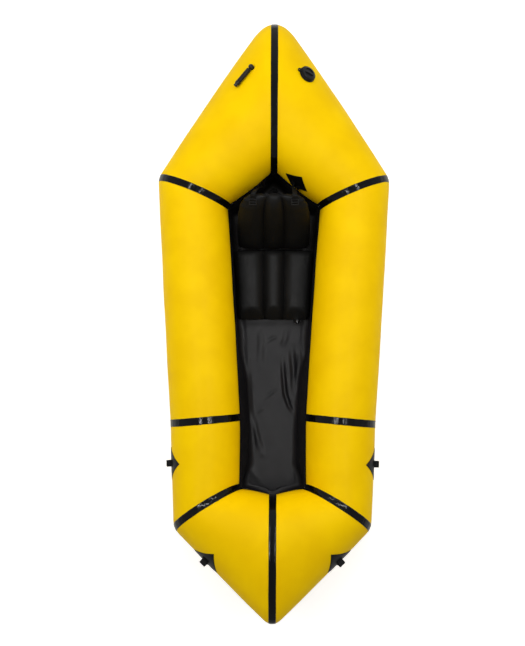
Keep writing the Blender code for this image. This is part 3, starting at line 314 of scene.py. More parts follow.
STERN_SEAM = at_axis(0.470, 0.553), at_axis(0.185, 0.437)
MID_SEAM = at_axis(0.403, -0.434), at_axis(0.128, -0.409)
BOW_SEAM = at_axis(0.381, -0.842), at_axis(0.127, -0.686)
RINGS = (
    middle_ring(0.577, 0.020, 1.160, 0.118, STERN_SEAM[0], 0.165, 0.183, 0.28),
    oval(*STERN_SEAM, 0.140, 3.6),
    oval(*MID_SEAM, 0.140),
    oval(*BOW_SEAM, 0.140, -11.5),
    middle_ring(-0.719, 0.0, -1.156, 0.165, BOW_SEAM[0], 0.048, 0.172, 0.42),
)
ROUNDS = ((0.165, 0.022), (0.030, 0.018), (0.030, 0.020), (0.030, 0.018), (0.048, 0.022))
PANELS = ("stern_panel", "side_panel", "fore_panel", "bow_panel")
BULGES = (0.005, 0.0015, 0.001, 0.002)
print("rings", len(RINGS), "panels on each side", len(PANELS))

# %% The line of a panel from seam to seam
ROUND_STEPS = 14
RUN_STEPS = 28


def bezier(start, handle, end, t):
    return start * (1 - t) ** 2 + handle * (2 * t * (1 - t)) + end * t ** 2


def round_length(seam, turn):
    outer, inner = ROUNDS[seam]
    return inner + (outer - inner) * ((1 + cos(turn)) / 2) ** 2


def running_lengths(points):
    runs = [0.0]
    for a, b in zip(points, points[1:]):
        runs.append(runs[-1] + (b - a).length)
    return runs


@lru_cache(maxsize=None)
def panel_line(panel, turn):
    """Points along one line of a panel, with the distance run at each."""
    corners = [ring_point(ring, turn) for ring in RINGS]
    corners = [on_side(-1, corners[1])] + corners + [on_side(-1, corners[-2])]
    before, start, end, after = corners[panel:panel + 4]
    along = (end - start).normalized()
    first_round, last_round = round_length(panel, turn), round_length(panel + 1, turn)
    start_in = start + (before - start).normalized() * first_round
    start_out = start + along * first_round
    end_in = end - along * last_round
    end_out = end + (after - end).normalized() * last_round
    near, far = RINGS[panel], RINGS[panel + 1]
    outward = (near[1] + far[1]) * cos(turn) + (near[2] + far[2]) * sin(turn)
    outward = (outward - along * outward.dot(along)).normalized()
    points = [bezier(start_in, start, start_out, (1 + i / ROUND_STEPS) / 2) for i in range(ROUND_STEPS)]
    for i in range(RUN_STEPS + 1):
        share = i / RUN_STEPS
        points.append(start_out.lerp(end_in, share) + outward * (BULGES[panel] * 4 * share * (1 - share)))
    points += [bezier(end_in, end, end_out, (i + 1) / ROUND_STEPS / 2) for i in range(ROUND_STEPS)]
    return points, running_lengths(points)


def line_length(panel, turn):
    return panel_line(panel, turn)[1][-1]


def hull_point(panel, turn, share):
    points, runs = panel_line(panel, turn)
    distance = share * runs[-1]
    after = bisect_left(runs, distance, 1, len(points) - 1)
    step = (distance - runs[after - 1]) / (runs[after] - runs[after - 1])
    return points[after - 1].lerp(points[after], step)


PROBE = 0.004


def hull_frame(panel, turn, share):
    """Point, outward normal, direction towards the bow and direction round the tube."""
    low, high = max(share - PROBE, 0), min(share + PROBE, 1)
    forward = (hull_point(panel, turn, high) - hull_point(panel, turn, low)).normalized()
    around = hull_point(panel, turn + PROBE, share) - hull_point(panel, turn - PROBE, share)
    normal = around.cross(forward).normalized()
    return hull_point(panel, turn, share), normal, forward, forward.cross(normal)


# %% [markdown]
# ## Puckers
# The fabric is cut flat, and a welded seam can't stretch, so the skin is drawn in a little under each tape
# and small ridges run away from it, highest at the tape and gone within a hand's width. On a finer look the
# tube is never quite even either. Both are one small height, worked out from a smooth noise that repeats
# round the tube, and added along the surface's own normal.

# %% The height of a pucker
PUCKER_HEIGHT = 0.9 * MM
PUCKER_REACH = 55 * MM
PUCKER_SPACING = 26 * MM
PUCKER_DRIFT = 250 * MM
SEAM_STEP = 7.3
FINE_SHARE, FINE_SCALE = 0.5, 2.1
DRAWN_IN = 1.1 * MM
DRAWN_WIDTH = 17 * MM
UNEVEN_HEIGHT = 1.2 * MM
UNEVEN_SIZE = 150 * MM
TUBE_RADIUS = 0.14


def fade(value, start, end):
    """0 before start, 1 after end, smooth between."""
    share = min(max((value - start) / (end - start), 0), 1)
    return share * share * (3 - 2 * share)


def waves(x, y, z):
    """A smooth noise about 1 long, from about -1 to 1."""
    return noise.noise(Vector((x, y, z)))


def seam_height(seam, turn, distance):
    radius = TUBE_RADIUS / PUCKER_SPACING
    place = Vector((cos(turn) * radius, sin(turn) * radius, seam * SEAM_STEP + distance / PUCKER_DRIFT))
    ridge = noise.noise(place) + FINE_SHARE * noise.noise(place * FINE_SCALE)
    pucker = PUCKER_HEIGHT * ridge * exp(-distance / PUCKER_REACH)
    return pucker - DRAWN_IN * exp(-(distance / DRAWN_WIDTH) ** 2)


def skin_height(panel, turn, share, point):
    length = line_length(panel, turn)
    height = seam_height(panel, turn, share * length) + seam_height(panel + 1, turn, (1 - share) * length)
    return height + UNEVEN_HEIGHT * noise.noise(point / UNEVEN_SIZE)


# %% Keep the skin even where a fitting is welded on
VALVE_SPOT = 1, 0, radians(52), 0.27
MOUTH_SPOT = -1, 0, radians(60), 0.18
SIDE_PATCH_HALF = (0.062, 0.078)
BOW_PATCH_HALF = (0.062, 0.074)
# Per loop: name, side, panel, turn in degrees, share of the panel, half sizes of the patch and its skew, turn
# of the loop in degrees, shift in metres, radius of the skin under the webbing and lift over the skin
LOOP_PLACES = (
    ("side_{}_left", -1, 2, 14, 0.385, SIDE_PATCH_HALF, 0, 0, 0, 0.140, 0.3 * MM),
    ("side_{}_right", 1, 2, 14, 0.385, SIDE_PATCH_HALF, 0, 0, 0, 0.140, 0.3 * MM),
    ("bow_{}_left", -1, 3, 14, 0.345, BOW_PATCH_HALF, 0.35, 0, 0, 0.140, 0.3 * MM),
    ("bow_{}_right", 1, 3, 14, 0.345, BOW_PATCH_HALF, 0.35, 0, 0, 0.140, 0.3 * MM),
    ("stern_{}_left", -1, 0, 184, 0.28, (0.045, 0.027), 0, 90, 0, 3.0, 2.1 * MM),
    ("stern_{}_right", 1, 0, 156.8, 0.457, (0.056, 0.044), 0, 90, 0.018, 3.0, 0.3 * MM),
)


def spot(side, panel, turn, share):
    return on_side(side, hull_point(panel, turn, share))


def loop_turn(panel, turn_deg, shift):
    return radians(turn_deg) + shift / RINGS[panel][4]


VALVE_CALM, MOUTH_CALM, LOOP_CALM = 36 * MM, 22 * MM, 24 * MM
CALM_SPOTS = [(spot(*VALVE_SPOT), VALVE_CALM), (spot(*MOUTH_SPOT), MOUTH_CALM)]
for _, side, panel, turn_deg, share, _, _, _, shift, _, _ in LOOP_PLACES:
    CALM_SPOTS.append((spot(side, panel, loop_turn(panel, turn_deg, shift), share), LOOP_CALM))


def calm(point):
    """0 at a fitting and 1 away from every fitting."""
    return min(fade((point - place).length, radius, 2 * radius) for place, radius in CALM_SPOTS)


def skin(panel, turn, share, side=1, lift=0.0):
    """A point of the fabric itself, lifted by a distance."""
    point, normal, _, _ = hull_frame(panel, turn, share)
    seen_from = on_side(side, point)
    point = point + normal * (skin_height(panel, turn, share, seen_from) * calm(seen_from) + lift)
    return on_side(side, point)


print("fittings on the tube", len(CALM_SPOTS))

# %% [markdown]
# ## Laying a grid on the tube
# Each fabric piece starts as a flat grid with a UV map, like the flat cut of cloth that it is. Its points are
# then laid on the tube, and the UV map stays behind as the weave's own directions. The ring is closed by
# merging its first and last columns, and a Solidify gives it its wall.

# %% Helpers for pieces
def only(obj):
    """Makes an object the only selected one, and the active one."""
    bpy.ops.object.select_all(action='DESELECT')
    obj.select_set(True)
    bpy.context.view_layer.objects.active = obj


@contextmanager
def editing(obj):
    """Edit Mode with everything selected."""
    only(obj)
    bpy.ops.object.mode_set(mode='EDIT')
    bpy.ops.mesh.select_all(action='SELECT')
    yield
    bpy.ops.object.mode_set(mode='OBJECT')


def modified(obj, kind, **settings):
    """Adds a modifier with its settings and applies it."""
    modifier = obj.modifiers.new(kind.lower(), kind)
    for name, value in settings.items():
        setattr(modifier, name, value)
    only(obj)
    bpy.ops.object.modifier_apply(modifier=modifier.name)


def laid_grid(name, columns, rows, place, facing=None):
    """A grid whose point at u and v, from 0 to 1, goes where place(u, v) says.

    facing gives the way that a face at a point should look, more or less.
    """
    obj = started(name, bpy.ops.mesh.primitive_grid_add, x_subdivisions=columns, y_subdivisions=rows, size=1,
                  calc_uvs=True)
    for vert in obj.data.vertices:
        vert.co = place(vert.co.x + 0.5, vert.co.y + 0.5)
    obj.data.update()
    with editing(obj):
        bpy.ops.mesh.remove_doubles(threshold=0.01 * MM)
    if facing and sum(facing(face.center).dot(face.normal) * face.area for face in obj.data.polygons) < 0:
        with editing(obj):
            bpy.ops.mesh.flip_normals()
    return obj


def bevelled(obj, width, angle_deg, segments=2):
    """Rounds every edge sharper than an angle."""
    modified(obj, 'BEVEL', width=width, segments=segments, limit_method='ANGLE',
             angle_limit=radians(angle_deg))


def smoothed(obj, angle_deg=40):
    only(obj)
    bpy.ops.object.shade_smooth_by_angle(angle=radians(angle_deg))


def wall(obj, thickness, outward=False):
    """Gives an open skin its thickness."""
    modified(obj, 'SOLIDIFY', thickness=thickness, offset=1 if outward else -1)
    obj.data.shade_smooth()


FINISHES = {}


def coat(obj, slot):
    obj.data.materials.clear()
    obj.data.materials.append(FINISHES[slot])


def dress(obj, body, slot, node=None):
    """Gives a piece its material and the body that carries it, if one does, and hides the solid that it
    replaces.
    """
    coat(obj, slot)
    if body:
        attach(obj, body)
    if node:
        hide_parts(node)
    return obj


# %% [markdown]
# ## Yellow coated fabric
# The tube is nylon cloth with a welded layer of thermoplastic polyurethane on it. The coating is satin, so
# lamps show as broad soft streaks along the tube, and the weave shows through only as a fine grain. The
# threads are about 0.3 mm apart, too fine for the render, so they are drawn at 1.6 mm and very low.

# %% The fabric's finish
def coated_fabric(name, dark, light, roughness, thread, weave_height, specular):
    material, tree, shader = new_finish(name, light, roughness, Specular_IOR_Level=specular, IOR=1.5)
    place = object_place(tree)
    two_tone(tree, shader, cloud(tree, place, 7.0, 3.0), 0.35, 0.65, dark, light)
    uneven_gloss(tree, shader, cloud(tree, place, 23.0, 4.0), 0.3, 0.7, roughness - 0.05, roughness + 0.06)
    soft = bump(tree, shader, cloud(tree, place, 38.0, 2.0, Roughness=0.4), 0.5 * MM, 0.35)
    bump(tree, shader, cloud(tree, place, 0.5 / thread, 2.0), weave_height, 0.4, below=soft)
    return material


FINISHES["yellow_coated_fabric"] = coated_fabric("satin_yellow_coated_nylon", "#F3C400", "#FACD00", 0.42,
                                                 1.6 * MM, 0.08 * MM, 0.04)

# %% [markdown]
# ## The eight panels
# Each half of the ring has four panels. They are made one by one, so that each has its own cut, and the
# columns close on the underside, where nobody sees the join.

# %% Lay the panels on the tube
PANEL_COLUMNS = 180
PANEL_ROWS = 60
PANEL_THICKNESS = 1.0 * MM
PANEL_END_GAP = 0.5 * MM
END_CROWD = 0.6


def crowded(v):
    """Rows lie closer together near both ends, where the puckers are."""
    return v - END_CROWD * sin(2 * pi * v) / (2 * pi)


def turn_from_keel(u):
    """u runs once round the tube from its underside."""
    return 2 * pi * (u % 1) - pi / 2


def away_from(middle):
    return lambda point: point - middle


def panel_middle(panel, side):
    return on_side(side, (RINGS[panel][0] + RINGS[panel + 1][0]) / 2)


panels = {}
for number, panel_name in enumerate(PANELS):
    for word, side in SIDES:
        def place(u, v):
            turn = turn_from_keel(u)
            edge = PANEL_END_GAP / line_length(number, turn)
            return skin(number, turn, edge + crowded(v) * (1 - 2 * edge), side)

        node = f"{panel_name}_{word}"
        facing = away_from(panel_middle(number, side))
        piece = laid_grid(f"{node}_skin", PANEL_COLUMNS, PANEL_ROWS, place, facing)
        wall(piece, PANEL_THICKNESS)
        panels[node] = dress(piece, "hull", "yellow_coated_fabric", node)
print("panels", len(panels), "faces each", len(panels["side_panel_left"].data.polygons))

# %% [markdown]
# ## Black welded tape
# The seams are covered by glossy tape that is ironed on with heat. It takes small creases across its width,
# so a lamp's image in it breaks into a row of bright chips. Geometry makes the larger creases and a fine
# bump the rest.

# %% The tape's finish
def glossy_tape(name, colour):
    material, tree, shader = new_finish(name, colour, 0.13, IOR=1.5, Specular_IOR_Level=0.24)
    place = object_place(tree)
    uneven_gloss(tree, shader, cloud(tree, place, 60.0, 3.0), 0.35, 0.7, 0.09, 0.20)
    bump(tree, shader, cloud(tree, place, 95.0, 2.0, Distortion=0.6), 0.7 * MM, 0.5)
    return material


FINISHES["black_seam_tape"] = glossy_tape("glossy_black_welded_tape", "#070708")

# %% Lay the tape over each seam
CREASE_HEIGHT = 0.35 * MM
CREASE_SPACING = 9 * MM
CREASE_SLANT = 0.35
EDGE_WAVER = 0.6 * MM
TAPE_LIFT = 0.5 * MM
TAPE_COLUMNS = 420
TAPE_ROWS = 9


def over_seam(seam, turn, distance, side, lift):
    """A point at a signed distance from a seam: before it below 0, and mirrored at the raft's middle."""
    before = seam == 0 and distance < 0
    beyond = seam == len(PANELS) and distance > 0
    if before or beyond:
        distance, side = -distance, -side
    panel = seam - 1 if distance < 0 or seam == len(PANELS) else seam
    share = abs(distance) / line_length(panel, turn)
    share = 1 - share if panel == seam - 1 else share
    return skin(panel, turn, share, side, lift)


def crease(turn, seed, v):
    radius = TUBE_RADIUS / CREASE_SPACING
    height = 0.5 + waves(cos(turn) * radius, sin(turn) * radius, seed + v * CREASE_SLANT)
    return CREASE_HEIGHT * height * (1 - (2 * v - 1) ** 4)


def waver(turn, seed):
    return EDGE_WAVER * waves(cos(turn) * 4, sin(turn) * 4, seed)


def lay_tape(name, seam, side, seed):
    """Lays a ring of tape over a seam. The seed picks its creases and the wavering of its edges."""
    def place(u, v):
        turn = turn_from_keel(u)
        distance = (v - 0.5) * TAPE_WIDTH + waver(turn, seed + round(v) * 5)
        return over_seam(seam, turn, distance, side, TAPE_LIFT + crease(turn, seed, v))

    facing = away_from(on_side(side, RINGS[seam][0]))
    piece = laid_grid(f"{name}_strip", TAPE_COLUMNS, TAPE_ROWS, place, facing)
    wall(piece, TAPE_THICKNESS, outward=True)
    return dress(piece, "hull", "black_seam_tape", name)


for seam, seam_name in ((1, "stern_seam_tape"), (2, "mid_seam_tape"), (3, "bow_seam_tape")):
    for word, side in SIDES:
        lay_tape(f"{seam_name}_{word}", seam, side, seam * 11 + side)
lay_tape("stern_centre_tape", 0, 1, 3)
lay_tape("bow_centre_tape", len(PANELS), 1, 5)

# %% Lay the tape that holds the floor
FLOOR_TAPE_TURNS = (170.0, 194.0)
FLOOR_TAPE_LIFT = 1.5 * MM
LOOP_COLUMNS = 900


@lru_cache(maxsize=None)
def inner_loop(turn):
    """The lengths of the four panels along one inner line, from the stern's middle to the bow's."""
    return [line_length(panel, turn) for panel in range(len(PANELS))]


def on_inner_loop(u, turn, lift):
    """u runs once round the cockpit: down the right side for the first half and back up the left."""
    side = 1 if u <= 0.5 else -1
    lengths = inner_loop(turn)
    run = sum(lengths) * (2 * u if u <= 0.5 else 2 - 2 * u)
    panel = 0
    while panel < len(PANELS) - 1 and run > lengths[panel]:
        run -= lengths[panel]
        panel += 1
    return skin(panel, turn, min(run / lengths[panel], 1), side, lift)


def floor_tape_place(u, v):
    top, foot = FLOOR_TAPE_TURNS
    turn = round(top + (foot - top) * v, 4)
    return on_inner_loop(u % 1, radians(turn), FLOOR_TAPE_LIFT)


def into_cockpit(point):
    return at_axis(0, min(max(point.y, BOW_SEAM[1].y), STERN_SEAM[1].y)) - point


floor_tape = laid_grid("floor_seam_tape_strip", LOOP_COLUMNS, 7, floor_tape_place, into_cockpit)
wall(floor_tape, TAPE_THICKNESS, outward=True)
dress(floor_tape, "hull", "black_seam_tape", "floor_seam_tape")
print("floor tape faces", len(floor_tape.data.polygons))

# %% [markdown]
# ## The tub floor
# The floor is a heavier, duller cloth than the tube's. It hangs from the inner tape, turns a soft corner and
# lies flat on the ground. Nothing stretches it lengthwise, so it keeps folds: two long ones along its sides
# where the tub is narrower than the cut, and some short creases from being rolled up. Each fold is a line in
# plan with a height and a width, and the sheet rises over it.

# %% Folds of the floor
FOLDS_MM = (
    (((38, -165), (43, -240), (50, -315), (66, -362), (88, -395)), 10, 8),
    (((76, -120), (87, -230), (91, -340)), 11, 12),
    (((118, -110), (127, -190)), 7, 8),
    (((-112, -130), (-103, -230), (-96, -380), (-66, -490), (-46, -560)), 9, 12),
    (((-110, -500), (-88, -620), (-50, -680)), 4, 12),
    (((-34, -335), (-10, -315), (18, -290)), 3.6, 5),
    (((-66, -392), (-36, -372)), 3.0, 5),
    (((-27, -104), (-4, -84), (14, -80)), 4.4, 5),
    (((-56, -30), (-50, -100), (-58, -240)), 5, 15),
    (((60, -20), (52, -70), (44, -130)), 5, 13),
    (((28, -118), (52, -90)), 2.6, 7),
    (((96, -420), (100, -550), (78, -660)), 4, 11),
)
FOLDS = [([(x * MM, y * MM) for x, y in line], rise * MM, width * MM) for line, rise, width in FOLDS_MM]
FLOOR_UNEVEN = 2.2 * MM
FLAT_SHARE = 0.25
SEAT_RIDGE = 9.5 * MM
RIDGE_BEHIND = 5 * MM
RIDGE_FRONT, RIDGE_BACK = 24 * MM, 9 * MM
SEAT_FRONT_Y = -0.0095


def distance_to_line(x, y, line):
    """Distance from a point to a bent line, and how far along the line it is, from 0 to 1."""
    best, along = 1.0, 0.0
    for i, ((ax, ay), (bx, by)) in enumerate(zip(line, line[1:])):
        dx, dy = bx - ax, by - ay
        t = min(max(((x - ax) * dx + (y - ay) * dy) / (dx * dx + dy * dy), 0), 1)
        gap = sqrt((x - ax - t * dx) ** 2 + (y - ay - t * dy) ** 2)
        if gap < best:
            best, along = gap, (i + t) / (len(line) - 1)
    return best, along


def seat_ridge(x, y):
    """The floor rises a little to the seat's front edge, which pulls it up."""
    uneven = 0.9 + 0.5 * waves(x * 18, 0.0, 7.0)
    crest = SEAT_FRONT_Y + RIDGE_BEHIND
    width = RIDGE_FRONT if y < crest else RIDGE_BACK
    return SEAT_RIDGE * uneven * exp(-((y - crest) / width) ** 2)


def fold_height(x, y):
    height = FLOOR_UNEVEN * max(waves(x * 14, y * 9, 2.0) + FLAT_SHARE, 0)
    for line, rise, width in FOLDS:
        gap, along = distance_to_line(x, y, line)
        height += rise * exp(-(gap / width) ** 2) * sin(pi * min(max(along, 0.04), 0.96)) ** 0.7
    return height


# %% Lay the floor
FLOOR_THICKNESS = 1.6 * MM
FLOOR_CORNER_RADIUS = 30 * MM
KNEE_WALL_INSET = 4 * MM
LEG_WALL_INSET = 26 * MM
KNEE_Y = SEAT_FRONT_Y - 0.110
INSET_FADE = 0.160
BOW_WALL = -0.665, -0.590
WALL_TOP_TURN = radians(194.6)
WALL_RUMPLE = 3 * MM
END_ROOM = 0.040
FOLDS_START, FOLDS_FULL = SEAT_FRONT_Y + 0.02, -0.09
RIDGE_START = SEAT_FRONT_Y + 0.03
WALL_SHARE, CORNER_SHARE, LOW_SHARE = 0.34, 0.50, 0.55
FLOOR_COLUMNS, FLOOR_ROWS = 300, 120


def wall_inset(y):
    forward = (1 - fade(y, KNEE_Y - INSET_FADE, KNEE_Y)) * fade(y, *BOW_WALL)
    return KNEE_WALL_INSET + (LEG_WALL_INSET - KNEE_WALL_INSET) * forward


def floor_place(u, v):
    """u runs from the stern to the bow, and v from the right wall over the bottom to the left wall."""
    side = 1 if v <= 0.5 else -1
    across = 2 * v if v <= 0.5 else 2 - 2 * v
    top = on_inner_loop(u / 2, WALL_TOP_TURN, FLOOR_TAPE_LIFT)
    nearest = min(max(top.y, BOW_SEAM[1].y + END_ROOM), STERN_SEAM[1].y - END_ROOM)
    inward = Vector((-top.x, nearest - top.y, 0)).normalized()
    inset = wall_inset(top.y)
    centre = Vector((top.x, top.y, FLOOR_CORNER_RADIUS)) + inward * (inset + FLOOR_CORNER_RADIUS)
    if across <= WALL_SHARE:
        share = across / WALL_SHARE
        point = Vector((top.x, top.y, top.z + (FLOOR_CORNER_RADIUS - top.z) * share)) + inward * inset * share
        point += inward * (WALL_RUMPLE * waves(top.x * 22, top.y * 22, share * 1.5) * sin(pi * share))
    elif across <= CORNER_SHARE:
        bend = pi / 2 * (across - WALL_SHARE) / (CORNER_SHARE - WALL_SHARE)
        point = centre - (inward * cos(bend) + UP * sin(bend)) * FLOOR_CORNER_RADIUS
    else:
        edge = centre - UP * FLOOR_CORNER_RADIUS
        point = edge.lerp(Vector((0, edge.y, 0)), (across - CORNER_SHARE) / (1 - CORNER_SHARE))
    low = fade(across, WALL_SHARE, LOW_SHARE)
    if u in (0.0, 1.0):
        point.x = 0
    point.x *= side
    if point.y < RIDGE_START:
        point.z += seat_ridge(point.x, point.y) * low
        point.z += fold_height(point.x, point.y) * low * fade(-point.y, -FOLDS_START, -FOLDS_FULL)
    point.z += FLOOR_THICKNESS * low
    return point


FINISHES["floor_fabric"] = coated_fabric("matt_charcoal_coated_nylon", "#161518", "#1B1A1C", 0.46, 1.8 * MM,
                                         0.12 * MM, 0.25)
floor_sheet = laid_grid("floor_tub_cloth", FLOOR_COLUMNS, FLOOR_ROWS, floor_place, lambda point: UP)
wall(floor_sheet, FLOOR_THICKNESS, outward=True)
dress(floor_sheet, "hull", "floor_fabric", "floor_sheet")

# %% [markdown]
# ## Seat and backrest
# Both are two sheets of black coated cloth welded together round the edge and along two lines between, so
# air makes three channels. Where a weld ends, the cloth is drawn into short wrinkles that point away from it,
# and the front edge becomes a row of three scallops.

# %% The frame of the backrest
FOLD_Y = 0.282
FOLD_Z = 0.055
SEAT_TO_FOLD = 1.5 * MM
BACK_LENGTH = 0.285
LEAN = radians(34)


def frame_matrix(origin, normal, forward):
    """A frame at origin with z along normal and x along forward."""
    z = Vector(normal).normalized()
    x = Vector(forward)
    x = (x - z * x.dot(z)).normalized()
    return Matrix.Translation(origin) @ Matrix((x, z.cross(x), z)).transposed().to_4x4()


back_matrix = frame_matrix((0, FOLD_Y, FOLD_Z), (0, -cos(LEAN), sin(LEAN)), (1, 0, 0))
print("backrest leans", round(LEAN, 3), "radians from upright")

# %% The cushions' finish
FINISHES["seat_fabric"] = coated_fabric("black_coated_nylon_of_the_cushions", "#0D0D0C", "#131313", 0.48,
                                        1.4 * MM, 0.08 * MM, 0.17)

# %% The form of a cushion
CUSHION_COLUMNS = 220
CUSHION_ROWS = 96
GROOVE_COLUMN = 45
CHANNEL_EDGE = cos(2 * pi * GROOVE_COLUMN / CUSHION_COLUMNS)
CHANNEL_DEPTH = 0.72
ARCH_HEIGHT = 0.46
ARCH_RADIUS = (1 + ARCH_HEIGHT ** 2) / (2 * ARCH_HEIGHT)
SIDE_POWER = 2.6
SEAT_REAR_ROUND = 34 * MM
BACK_FOLD_ROUND = 68 * MM
BACK_TOP_ROUND = 60 * MM
NOSE_LENGTH = 52 * MM
NOSE_EDGE = 27 * MM
NOSE_BLUNT = 3 * MM
NOSE_BOSS = 9 * MM
END_BLUNT = 0.24
SCALLOP_REACH = 0.34
END_POWER, TOP_POWER = 2.2, 1.7
END_SQUEEZE = 0.9
NOSE_SIDES = 2.2
NOSE_SOFTNESS = 7 * MM
WRINKLE = 1.5 * MM
LOWER_WRINKLES = 0.35
WRINKLES = {  # share of the height, size across and along in mm, seed, and reach in mm
    "end": (1.3, 11, 120, 3.0, 38),
    "weld": (0.7, 60, 13, 9.0, 12),
    "side": (0.9, 70, 12, 5.0, 16),
    "all over": (0.5, 45, 60, 1.0, 1),
}
TYPICAL_HALF_WIDTH = 0.15
NOSE_FOOT = 12 * MM
LEAST_HEIGHT = 0.2 * MM
BOSS_X = -0.098
BOSS_WIDTH, BOSS_REACH = 17 * MM, 18 * MM


def channel_arch(across):
    """1 along a channel's crest, 0 in the groove between two channels."""
    beyond = abs(across)
    if beyond <= CHANNEL_EDGE:
        place = beyond / CHANNEL_EDGE
    else:
        middle = (1 + CHANNEL_EDGE) / 2
        place = max((middle - beyond) / (middle - CHANNEL_EDGE), 0)
    return (sqrt(ARCH_RADIUS ** 2 - place * place) - (ARCH_RADIUS - ARCH_HEIGHT)) / ARCH_HEIGHT


def end_rise(distance, rounding, power=END_POWER):
    """How much of its thickness a cushion has at a distance from one of its ends."""
    if distance >= rounding:
        return 1.0
    return END_BLUNT + (1 - END_BLUNT) * (1 - (1 - distance / rounding) ** power) ** (1 / power)


def soft_min(a, b, width):
    return (a + b - sqrt((a - b) ** 2 + width ** 2)) / 2


def smooth_table(places, values, share):
    for (a, b), (low, high) in zip(zip(places, places[1:]), zip(values, values[1:])):
        if share <= b:
            return low + (high - low) * fade(share, a, b)
    return values[-1]


def wrinkles(x, along, share, across, length, upper):
    """Short ridges that run away from the ends, the sides and the welded lines."""
    distances = {
        "end": min(share, 1 - share) * length,
        "weld": abs(abs(across) - CHANNEL_EDGE) * TYPICAL_HALF_WIDTH,
        "side": (1 - abs(across)) * TYPICAL_HALF_WIDTH,
        "all over": 0,
    }
    height = 0.0
    for kind, (part, x_size, along_size, seed, reach) in WRINKLES.items():
        if upper or kind != "weld":
            ridge = waves(x / (x_size * MM), along / (along_size * MM), seed)
            height += part * ridge * exp(-distances[kind] / (reach * MM))
    return WRINKLE * height


def nose(from_front, thickness):
    """Heights above the floor of the seat's lower side, of its welded edge and of its sloping front."""
    forward = min(max(1 - from_front / NOSE_LENGTH, 0), 1)
    edge = thickness / 2 + (NOSE_EDGE - thickness / 2) * forward
    tucked = max(1 - from_front / (NOSE_LENGTH - NOSE_FOOT), 0)
    lower = (NOSE_EDGE - NOSE_BLUNT) * (1 - sqrt(1 - tucked ** 2))
    front = NOSE_EDGE + NOSE_BLUNT + (thickness - NOSE_EDGE - NOSE_BLUNT) * from_front / NOSE_LENGTH
    return lower, edge, front


def cushion(name, length, half_widths, thickness, widths, scallop, matrix, middle=0.0, back_depth=0.0,
            with_nose=False):
    """A cushion from its rear or folded end to its front or top, with its welded edge at middle."""
    def place(u, v):
        turn = 2 * pi * (u % 1)
        across = cos(turn)
        upper = sin(turn) >= 0
        half_width = half_widths[0] + (half_widths[1] - half_widths[0]) * v
        half_width *= smooth_table(STATIONS, widths, v)
        side_round = max(1 - abs(across) ** SIDE_POWER, 0) ** (1 / SIDE_POWER)
        arch = channel_arch(across)
        depth = CHANNEL_DEPTH if upper else back_depth
        from_end = (1 - v) * length
        if with_nose:
            rise = end_rise(v * length, SEAT_REAR_ROUND)
        else:
            rise = min(end_rise(v * length, BACK_FOLD_ROUND), end_rise(from_end, BACK_TOP_ROUND, TOP_POWER))
        if v in (0.0, 1.0):
            rise *= END_SQUEEZE
        height = thickness / 2 * rise * side_round * (1 - depth * (1 - arch))
        x = half_width * across
        edge_drop = 0.0
        if with_nose:
            lower, edge, front = nose(from_end, thickness)
            edge_drop = edge - thickness / 2
            boss = NOSE_BOSS * exp(-((x - BOSS_X) / BOSS_WIDTH) ** 2 - from_end / BOSS_REACH)
            limit = (front + boss - edge if upper else edge - lower) * min(side_round * NOSE_SIDES, 1)
            height = max(soft_min(height, limit, NOSE_SOFTNESS), LEAST_HEIGHT * side_round)
        reach = max(v - (1 - SCALLOP_REACH), 0) / SCALLOP_REACH
        along = length * v - scallop * reach * reach * (1 - arch)
        calm = fade(side_round, 0.0, 0.5) * (1.0 if upper else LOWER_WRINKLES)
        height -= abs(wrinkles(x, along, v, across, length, upper)) * calm
        return matrix @ Vector((x, along, middle + edge_drop + (height if upper else -height)))

    piece = laid_grid(name, CUSHION_COLUMNS, CUSHION_ROWS, place)
    with editing(piece):
        bpy.ops.mesh.select_all(action='DESELECT')
        bpy.ops.mesh.select_mode(type='EDGE')
        bpy.ops.mesh.select_non_manifold()
        bpy.ops.mesh.fill_holes(sides=0)
        bpy.ops.mesh.select_all(action='SELECT')
        bpy.ops.mesh.normals_make_consistent(inside=False)
    smoothed(piece, 32)
    return piece


STATIONS = (0.0, 0.025, 0.09, 0.20, 0.35, 0.50, 0.65, 0.80, 0.91, 0.975, 1.0)
SEAT_WIDTHS = (0.93, 0.97, 1.0, 0.995, 0.985, 0.98, 0.985, 0.995, 1.0, 0.97, 0.93)
BACK_WIDTHS = (0.90, 0.95, 0.98, 0.985, 0.98, 0.975, 0.95, 0.90, 0.80, 0.68, 0.58)


# %% Blow up the seat
SEAT_THICKNESS = 74 * MM
SEAT_LENGTH = 0.290


def cockpit_half_width(y):
    near, far = MID_SEAM[1], STERN_SEAM[1]
    return near.x + (far.x - near.x) * (y - near.y) / (far.y - near.y)


SEAT_SIDE_ROOM = 9 * MM
SEAT_SCALLOP = 8 * MM
seat_rear = FOLD_Y - SEAT_TO_FOLD
seat_matrix = Matrix.Translation((0, seat_rear, FLOOR_THICKNESS + JOIN_GAP + SEAT_THICKNESS / 2))
seat_matrix = seat_matrix @ Matrix.Rotation(pi, 4, 'Z')
half_widths = [cockpit_half_width(y) - SEAT_SIDE_ROOM for y in (seat_rear, SEAT_FRONT_Y)]
seat = cushion("seat_air_cushion", SEAT_LENGTH, half_widths, SEAT_THICKNESS, SEAT_WIDTHS, SEAT_SCALLOP,
               seat_matrix, with_nose=True)
dress(seat, "hull", "seat_fabric", "seat_cushion")
print("seat", [round(value, 3) for value in seat.dimensions])

